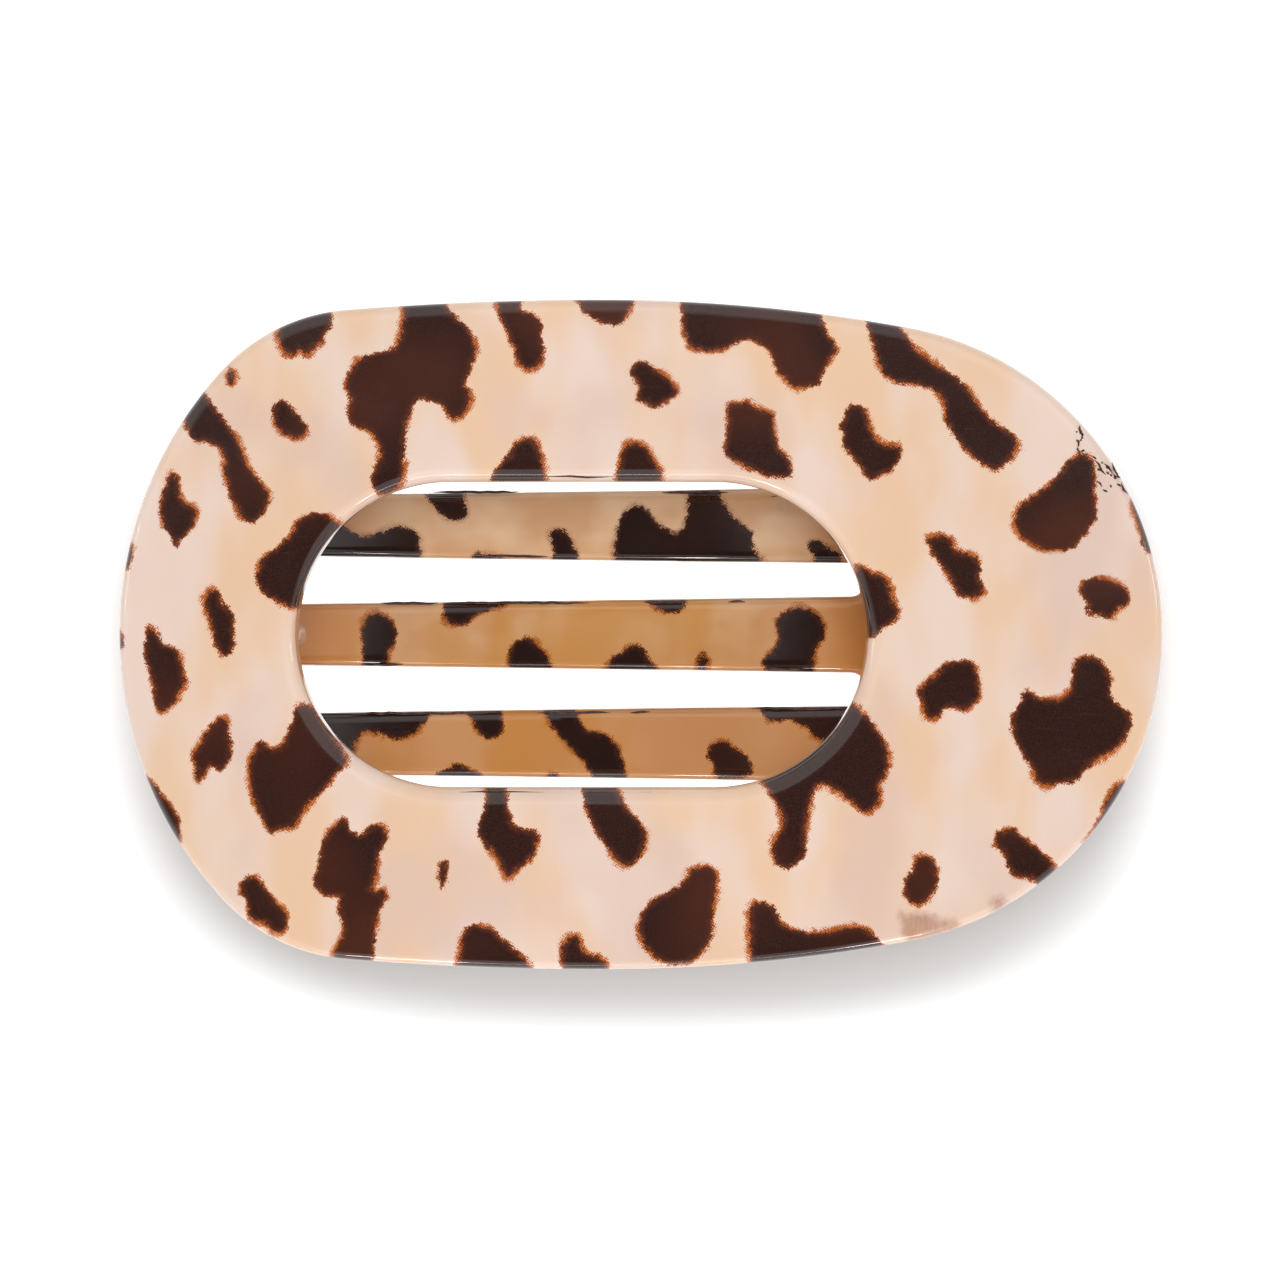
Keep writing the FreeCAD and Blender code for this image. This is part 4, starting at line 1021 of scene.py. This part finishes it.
def buildPegTree():
    tree, given, out = newTree("roundedPegRow", [
        ("Count", "NodeSocketInt", 3), ("Length", "NodeSocketFloat", 0.003),
        ("Foot Radius", "NodeSocketFloat", 0.001), ("Tip Radius", "NodeSocketFloat", 0.001),
        ("Foot Round", "NodeSocketFloat", 0.0), ("Tip Round", "NodeSocketFloat", 0.0005),
        ("Lean", "NodeSocketRotation", (0, 0, 0)), ("Sides", "NodeSocketInt", 24),
        ("Material", "NodeSocketMaterial", None)])
    value = given.outputs
    points = addNode(tree, "GeometryNodeCurveToPoints", {0: value["Geometry"], "Count": value["Count"]})
    top = addNode(tree, "ShaderNodeCombineXYZ", {"Z": value["Length"]})
    stem = addNode(tree, "GeometryNodeCurvePrimitiveLine", {"End": top.outputs[0]})
    stem = addNode(tree, "GeometryNodeResampleCurve", {"Curve": stem.outputs[0], "Count": 49})
    along = addNode(tree, "GeometryNodeSplineParameter")
    share = along.outputs["Factor"]
    fromFoot = maths(tree, "MULTIPLY", share, value["Length"])
    fromTip = maths(tree, "SUBTRACT", value["Length"], fromFoot)
    slope = maths(tree, "SUBTRACT", value["Tip Radius"], value["Foot Radius"])
    radius = maths(tree, "MULTIPLY_ADD", share, slope, value["Foot Radius"])
    radius = maths(tree, "SUBTRACT", radius, roundingInset(tree, fromFoot, value["Foot Round"]))
    radius = maths(tree, "SUBTRACT", radius, roundingInset(tree, fromTip, value["Tip Round"]))
    radius = maths(tree, "MAXIMUM", radius, 0.00001)
    profile = addNode(tree, "GeometryNodeCurvePrimitiveCircle", {
        "Resolution": value["Sides"], "Radius": 1.0})
    peg = addNode(tree, "GeometryNodeCurveToMesh", {
        "Curve": stem.outputs[0], "Profile Curve": profile.outputs[0], "Scale": radius, "Fill Caps": True})
    row = addNode(tree, "GeometryNodeInstanceOnPoints", {
        "Points": points.outputs[0], "Instance": peg.outputs[0], "Rotation": value["Lean"]})
    finishTree(tree, row.outputs[0], given, out)
    return tree


def buildWireTree():
    tree, given, out = newTree("wireAlongPath", [
        ("Wire Radius", "NodeSocketFloat", 0.0006), ("Sides", "NodeSocketInt", 16),
        ("End Thinning", "NodeSocketFloat", 0.0),
        ("Material", "NodeSocketMaterial", None)])
    value = given.outputs
    profile = addNode(tree, "GeometryNodeCurvePrimitiveCircle", {
        "Resolution": value["Sides"], "Radius": value["Wire Radius"]})
    share = addNode(tree, "GeometryNodeSplineParameter").outputs["Factor"]
    fromEnd = maths(tree, "MINIMUM", share, maths(tree, "SUBTRACT", 1.0, share))
    thin = maths(tree, "SUBTRACT", 1.0, value["End Thinning"])
    full = maths(tree, "MINIMUM", maths(tree, "MULTIPLY", fromEnd, 5.0), 1.0)
    scale = maths(tree, "MULTIPLY_ADD", full, value["End Thinning"], thin)
    wire = addNode(tree, "GeometryNodeCurveToMesh", {
        "Curve": value["Geometry"], "Profile Curve": profile.outputs[0], "Scale": scale, "Fill Caps": True})
    finishTree(tree, wire.outputs[0], given, out)
    return tree


# routes of points in mm
def pathCurve(name, *routes):
    curve = bpy.data.curves.new(name, "CURVE")
    curve.dimensions = "3D"
    for points in routes:
        spline = curve.splines.new("POLY")
        spline.points.add(len(points) - 1)
        for place, spot in zip(spline.points, points):
            place.co = (spot[0] * mm, spot[1] * mm, spot[2] * mm, 1)
    holder = bpy.data.objects.new(name, curve)
    scene.collection.objects.link(holder)
    return holder


# runs the tree on the path and keeps the result as a plain mesh
def grownFrom(name, path, tree, values):
    modifier = path.modifiers.new(tree.name, "NODES")
    modifier.node_group = tree
    labels = {item.name: item.identifier for item in tree.interface.items_tree if item.in_out == "INPUT"}
    for label, value in values.items():
        modifier[labels[label]] = value
    evaluated = path.evaluated_get(bpy.context.evaluated_depsgraph_get())
    mesh = bpy.data.meshes.new_from_object(evaluated)
    bpy.data.objects.remove(path)
    work = bmesh.new()
    work.from_mesh(mesh)
    bmesh.ops.remove_doubles(work, verts=work.verts, dist=0.00002)
    bmesh.ops.recalc_face_normals(work, faces=work.faces)
    work.to_mesh(mesh)
    work.free()
    mesh.name = name
    for key in ("edgeDistance", "smearAndWallDistance"):
        attribute = mesh.attributes.new(key, "FLOAT", "POINT")
        attribute.data.foreach_set("value", np.full(len(mesh.vertices), filmReach, np.float32))
    mesh.shade_smooth()
    mesh.set_sharp_from_angle(angle=math.radians(50))
    piece = bpy.data.objects.new(name, mesh)
    scene.collection.objects.link(piece)
    return piece


pegTree = buildPegTree()
wireTree = buildWireTree()

ridgeSizes = {"count": 4, "spacing": 2.0, "radius": 0.7, "stand": 0.4, "length": 12.0, "lastX": 37.5}
toothSizes = {
    "x": -29.9, "footRadius": 1.25, "tipRadius": 0.8, "height": 2.2, "rootDepth": 0.8, "round": 0.5,
}


def buildThumbRidges():
    s = ridgeSizes
    xs = [s["lastX"] - k * s["spacing"] for k in range(s["count"])]
    halfSpan = s["length"] / 2 + s["radius"]
    lift = s["radius"] - s["stand"]
    path = [(x, halfSpan, float(jawZ(x, -jawSizes["halfThickness"])) + lift) for x in xs]
    piece = grownFrom("thumbRidges", pathCurve("ridgeFeet", path), pegTree, {
        "Count": s["count"], "Length": 2 * halfSpan * mm, "Foot Radius": s["radius"] * mm,
        "Tip Radius": s["radius"] * mm, "Foot Round": s["radius"] * mm, "Tip Round": s["radius"] * mm,
        "Lean": (math.pi / 2, 0, 0), "Material": jawPlastic})
    fitTo(piece, "jaw")


def buildGripTeeth():
    s = toothSizes
    pitch = jawSizes["tinePitch"]
    foot = float(jawZ(s["x"], jawSizes["halfThickness"])) - s["rootDepth"]
    path = [(s["x"], -pitch, foot), (s["x"], pitch, foot)]
    # the teeth take the frame's paler plastic, not the jaw's darker one, so they show lighter than the
    # tines: painted light, as they stand up nearer the light
    piece = grownFrom("gripTeeth", pathCurve("toothFeet", path), pegTree, {
        "Count": 3, "Length": (s["height"] + s["rootDepth"]) * mm, "Foot Radius": s["footRadius"] * mm,
        "Tip Radius": s["tipRadius"] * mm, "Tip Round": s["round"] * mm, "Material": framePlastic})
    fitTo(piece, "jaw")


springSizes = {
    "wireRadius": 0.6, "coilRadius": 2.3, "pitch": 1.3, "fullTurns": 7, "legReach": 9.2, "stepsPerTurn": 40,
}


# where a line from a point (x, z) touches the coil's circle
def tangentTouch(outside, radius, side):
    gap = np.array([hingeX, hingeZ]) - outside
    distance = np.hypot(*gap)
    lean = math.atan2(gap[1], gap[0]) + side * math.asin(radius / distance)
    run = math.sqrt(distance ** 2 - radius ** 2)
    return outside + run * np.array([math.cos(lean), math.sin(lean)]), run


def buildSpring():
    s = springSizes
    legX = hingeX + s["legReach"]
    upperEnd = np.array([legX, float(backZ(legX))])
    lowerEnd = np.array([legX, float(jawZ(legX, jawSizes["halfThickness"]))])
    upperTouch, upperRun = tangentTouch(upperEnd, s["coilRadius"], -1)
    lowerTouch, lowerRun = tangentTouch(lowerEnd, s["coilRadius"], 1)
    first, last = (math.atan2(hingeZ - touch[1], touch[0] - hingeX) for touch in (lowerTouch, upperTouch))
    sweep = (last - first) % (2 * math.pi) + 2 * math.pi * s["fullTurns"]
    length = sweep / (2 * math.pi) * s["pitch"]
    lead = s["pitch"] / (2 * math.pi * s["coilRadius"])
    path = [(legX, -length / 2 - lead * lowerRun, lowerEnd[1])]
    steps = int(sweep / (2 * math.pi) * s["stepsPerTurn"])
    for k in range(steps + 1):
        turn = first + sweep * k / steps
        path.append((hingeX + s["coilRadius"] * math.cos(turn), length * (k / steps - 0.5),
                     hingeZ - s["coilRadius"] * math.sin(turn)))
    path.append((legX, length / 2 + lead * upperRun, upperEnd[1]))
    piece = grownFrom("torsionSpring", pathCurve("springPath", path), wireTree, {
        "Wire Radius": s["wireRadius"] * mm, "Sides": 18, "Material": springSteel})
    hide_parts("torsion_spring")
    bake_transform(piece)


sliverLook = {
    "frameRadius": 0.11, "tineRadius": 0.12, "colour": srgb(44, 20, 12), "patchColour": srgb(92, 50, 28),
    "roughness": 0.35, "wornRoughness": 0.6,
    "frameSink": 0.03, "tineSink": 0.12, "thinning": 0.85, "step": 0.6, "wobble": 0.06, "seed": 11,
    "crackRun": [(36.8, 17.4), (36.9, 15.3), (38.1, 14.6), (39.4, 13.6), (40.2, 12.2)],
    "crackDashes": 30, "crackSpread": 0.42,
}


def buildSliverMaterial():
    material, tree, shader = startMaterial("gatheredFilm")
    plain = objectMillimetres(tree)
    patches = ramp(tree, noise(tree, plain, 3.0, 3.0), 0.4, 0.7)
    colour = mixColour(tree, patches, sliverLook["colour"], sliverLook["patchColour"])
    tree.links.new(colour, shader.inputs["Base Color"])
    wear = placeGroup(tree, wearGroup, {
        "Scratch Scale": 2.0, "Base Roughness": sliverLook["roughness"],
        "Wear Roughness": sliverLook["wornRoughness"]})
    tree.links.new(wear.outputs["Roughness"], shader.inputs["Roughness"])
    lumps = maths(tree, "ADD", wear.outputs["Height"], noise(tree, plain, 6.0, 2.0))
    bump = addNode(tree, "ShaderNodeBump", {"Height": lumps, "Strength": 0.5, "Distance": 0.00005})
    tree.links.new(bump.outputs["Normal"], shader.inputs["Normal"])
    return material


sliverMaterial = buildSliverMaterial()


# front height, with the rounding round the window and the oval's rim allowed for
def frameTopZ(x, y):
    s = frameSizes
    left, right = s["windowLeft"] + s["windowRadius"], s["windowRight"] - s["windowRadius"]
    fromWindow = math.hypot(x - min(max(x, left), right), y) - s["windowRadius"]
    drop = max(0.0, s["frontRound"] - max(fromWindow, 0.0))
    inset = s["frontRound"] - math.sqrt(s["frontRound"] ** 2 - drop ** 2)
    return float(frontZ(x)) - inset


# short broken dashes strewn along the crack
def crackDashes(rng):
    run = np.array(sliverLook["crackRun"])
    dashes = []
    for _ in range(sliverLook["crackDashes"]):
        place = rng.uniform(0, len(run) - 1)
        step = min(int(place), len(run) - 2)
        middle = run[step] + (run[step + 1] - run[step]) * (place - step)
        middle = middle + rng.normal(0, 1, 2) * sliverLook["crackSpread"] * (0.4 + step / len(run))
        turn = rng.normal(-0.9, 0.6)
        half = rng.uniform(0.08, 0.32)
        reach = half * np.array([math.cos(turn), math.sin(turn)])
        dashes.append([tuple(middle - reach), tuple(middle + reach * 0.1), tuple(middle + reach)])
    return dashes


def sliverWires(name, routes, radius, body):
    piece = grownFrom(name, pathCurve(name + "Paths", *routes), wireTree, {
        "Wire Radius": radius * mm, "Sides": 8, "End Thinning": sliverLook["thinning"],
        "Material": sliverMaterial})
    fitTo(piece, body)


def buildSlivers():
    look = sliverLook
    rng = np.random.default_rng(look["seed"])
    flat = frameSlivers + crackDashes(rng)
    routes = [[(x, y, frameTopZ(x, y) - look["frameSink"]) for x, y in route] for route in flat]
    sliverWires("frameFilmSlivers", routes, look["frameRadius"], "frame")
    routes = []
    for start, end, y in tineSlivers:
        xs = np.linspace(start, end, max(4, int((end - start) / look["step"])))
        wobble = rng.uniform(-look["wobble"], look["wobble"], len(xs))
        tops = jawZ(xs, jawSizes["halfThickness"]) - look["tineSink"]
        routes.append([(float(x), y + float(w), float(z)) for x, w, z in zip(xs, wobble, tops)])
    sliverWires("tineFilmSlivers", routes, look["tineRadius"], "jaw")


buildThumbRidges()
buildGripTeeth()
buildSpring()
buildSlivers()
print("ridges, teeth and spring made")

pin = frame["nodes"]["hinge_pin"]
pin.data.materials.clear()
pin.data.materials.append(pinSteel)
print("pin finished")


# Floor, light and camera

stageLook = {
    "floorColour": (0.85, 0.86, 0.865, 1), "floorLift": 0.5, "windowLift": 1.0, "floorSide": 3.0,
    # window patch: painted light on the floor under the clip's window
    "windowMiddle": -5.0, "windowStraight": 16.0, "windowFade": (18.0, 12.0),       # mm
    "shadowSize": (48.0, 31.0), "shadowDown": 5.0, "shadowFade": (0.84, 1.04),
    "worldLight": 0.48, "zenithGlow": 0.1, "roomGlow": 1.0,
    "patchAside": (0.02, 0.22), "patchStretch": (1.25, 3.4), "patchFade": (0.9, 1.3),
    "softBoxes": [
        # name, place, aim (mm), width, height (mm), brightness
        ("keyBox", (0, 75, 700), (0, 0, 10), 320, 320, 6.3),
        ("lowStrip", (20, -420, 150), (0, -20, 15), 460, 16, 12.0),
        ("lowLeftSpark", (-105, -410, 148), (0, -20, 15), 60, 34, 26.0),
        ("lowRightSpark", (150, -400, 148), (0, -20, 15), 60, 34, 26.0),
        ("leftGlint", (-520, 70, 150), (0, 0, 15), 90, 30, 14.0),
        ("rightGlint", (520, 70, 150), (0, 0, 15), 90, 30, 14.0),
    ],
}
cameraLook = {"place": (-0.17, -0.38, 519.5), "lens": 168.5}


# one for rays that the eye follows straight, by gloss or through something clear
def seenByEye(tree):
    rays = tree.nodes.new("ShaderNodeLightPath")
    seen = maths(tree, "MAXIMUM", rays.outputs["Is Camera Ray"], rays.outputs["Is Glossy Ray"])
    return maths(tree, "MAXIMUM", seen, rays.outputs["Is Transmission Ray"])


def buildFloor():
    look = stageLook
    mesh = bpy.data.meshes.new("paleFloor")
    side = look["floorSide"]
    corners = [(x * side, y * side, 0) for x, y in ((-1, -1), (1, -1), (1, 1), (-1, 1))]
    mesh.from_pydata(corners, [], [(0, 1, 2, 3)])
    floor = bpy.data.objects.new("paleFloor", mesh)
    scene.collection.objects.link(floor)
    material = bpy.data.materials.new("paleFloor")
    material.use_nodes = True
    tree = material.node_tree
    tree.nodes.clear()
    matte = addNode(tree, "ShaderNodeBsdfDiffuse", {"Color": look["floorColour"]})
    seen = seenByEye(tree)
    place = addNode(tree, "ShaderNodeSeparateXYZ", {"Vector": objectMillimetres(tree)})
    x, y = place.outputs["X"], place.outputs["Y"]
    # painted light on the floor: a bright patch under the clip's window, so no shadow shows between the
    # tines
    pastX = maths(tree, "ABSOLUTE", maths(tree, "SUBTRACT", x, look["windowMiddle"]))
    pastX = maths(tree, "MAXIMUM", maths(tree, "SUBTRACT", pastX, look["windowStraight"]), 0.0)
    under = ramp(tree, spread(tree, pastX, y), *look["windowFade"])
    nearX = maths(tree, "ABSOLUTE", maths(tree, "DIVIDE", x, look["shadowSize"][0]))
    nearY = maths(tree, "DIVIDE", maths(tree, "ADD", y, look["shadowDown"]), look["shadowSize"][1])
    nearY = maths(tree, "ABSOLUTE", nearY)
    # the shadow is left whole close under the clip, and the floor is lifted to white beyond
    around = ramp(tree, spread(tree, nearX, nearY, 3.0), *look["shadowFade"], 0.0, look["floorLift"])
    lift = maths(tree, "MULTIPLY_ADD", under, look["windowLift"], around)
    glow = addNode(tree, "ShaderNodeEmission", {"Strength": maths(tree, "MULTIPLY", seen, lift)})
    both = addNode(tree, "ShaderNodeAddShader", {0: matte.outputs[0], 1: glow.outputs[0]})
    output = tree.nodes.new("ShaderNodeOutputMaterial")
    tree.links.new(both.outputs[0], output.inputs[0])
    mesh.materials.append(material)


def buildWorld():
    look = stageLook
    world = bpy.data.worlds.new("studioSky")
    world.use_nodes = True
    tree = world.node_tree
    tree.nodes.clear()
    seen = seenByEye(tree)
    place = tree.nodes.new("ShaderNodeTexCoord")
    away = addNode(tree, "ShaderNodeSeparateXYZ", {"Vector": place.outputs["Generated"]})
    # a dark patch overhead, reaching further towards the clip's lower side, in a bright room
    beside = [maths(tree, "MULTIPLY", maths(tree, "ADD", away.outputs[axis], aside), stretch)
              for axis, aside, stretch in zip("XY", look["patchAside"], look["patchStretch"])]
    glow = ramp(tree, spread(tree, *beside), *look["patchFade"], look["zenithGlow"], look["roomGlow"])
    extra = maths(tree, "SUBTRACT", glow, look["worldLight"])
    strength = maths(tree, "MULTIPLY_ADD", seen, extra, look["worldLight"])
    sky = addNode(tree, "ShaderNodeBackground", {"Color": (1, 1, 1, 1), "Strength": strength})
    output = tree.nodes.new("ShaderNodeOutputWorld")
    tree.links.new(sky.outputs[0], output.inputs[0])
    scene.world = world


def buildLights():
    for name, place, aim, width, height, brightness in stageLook["softBoxes"]:
        lamp = bpy.data.lights.new(name, "AREA")
        lamp.shape = "RECTANGLE"
        lamp.size = width * mm
        lamp.size_y = height * mm
        lamp.energy = brightness * math.pi * width * height * mm * mm
        holder = bpy.data.objects.new(name, lamp)
        holder.location = Vector(place) * mm
        holder.rotation_euler = (Vector(aim) - Vector(place)).to_track_quat("-Z", "Y").to_euler()
        holder.visible_glossy = name != "keyBox"       # its gloss comes from the sky's bright side
        scene.collection.objects.link(holder)


def buildCamera():
    camera = bpy.data.cameras.new("topCamera")
    camera.lens = cameraLook["lens"]
    camera.sensor_width = 36
    camera.clip_start = 0.01
    holder = bpy.data.objects.new("topCamera", camera)
    holder.location = Vector(cameraLook["place"]) * mm
    scene.collection.objects.link(holder)
    scene.camera = holder


buildFloor()
buildWorld()
buildLights()
buildCamera()
scene.view_settings.view_transform = "Standard"
print("stage set")
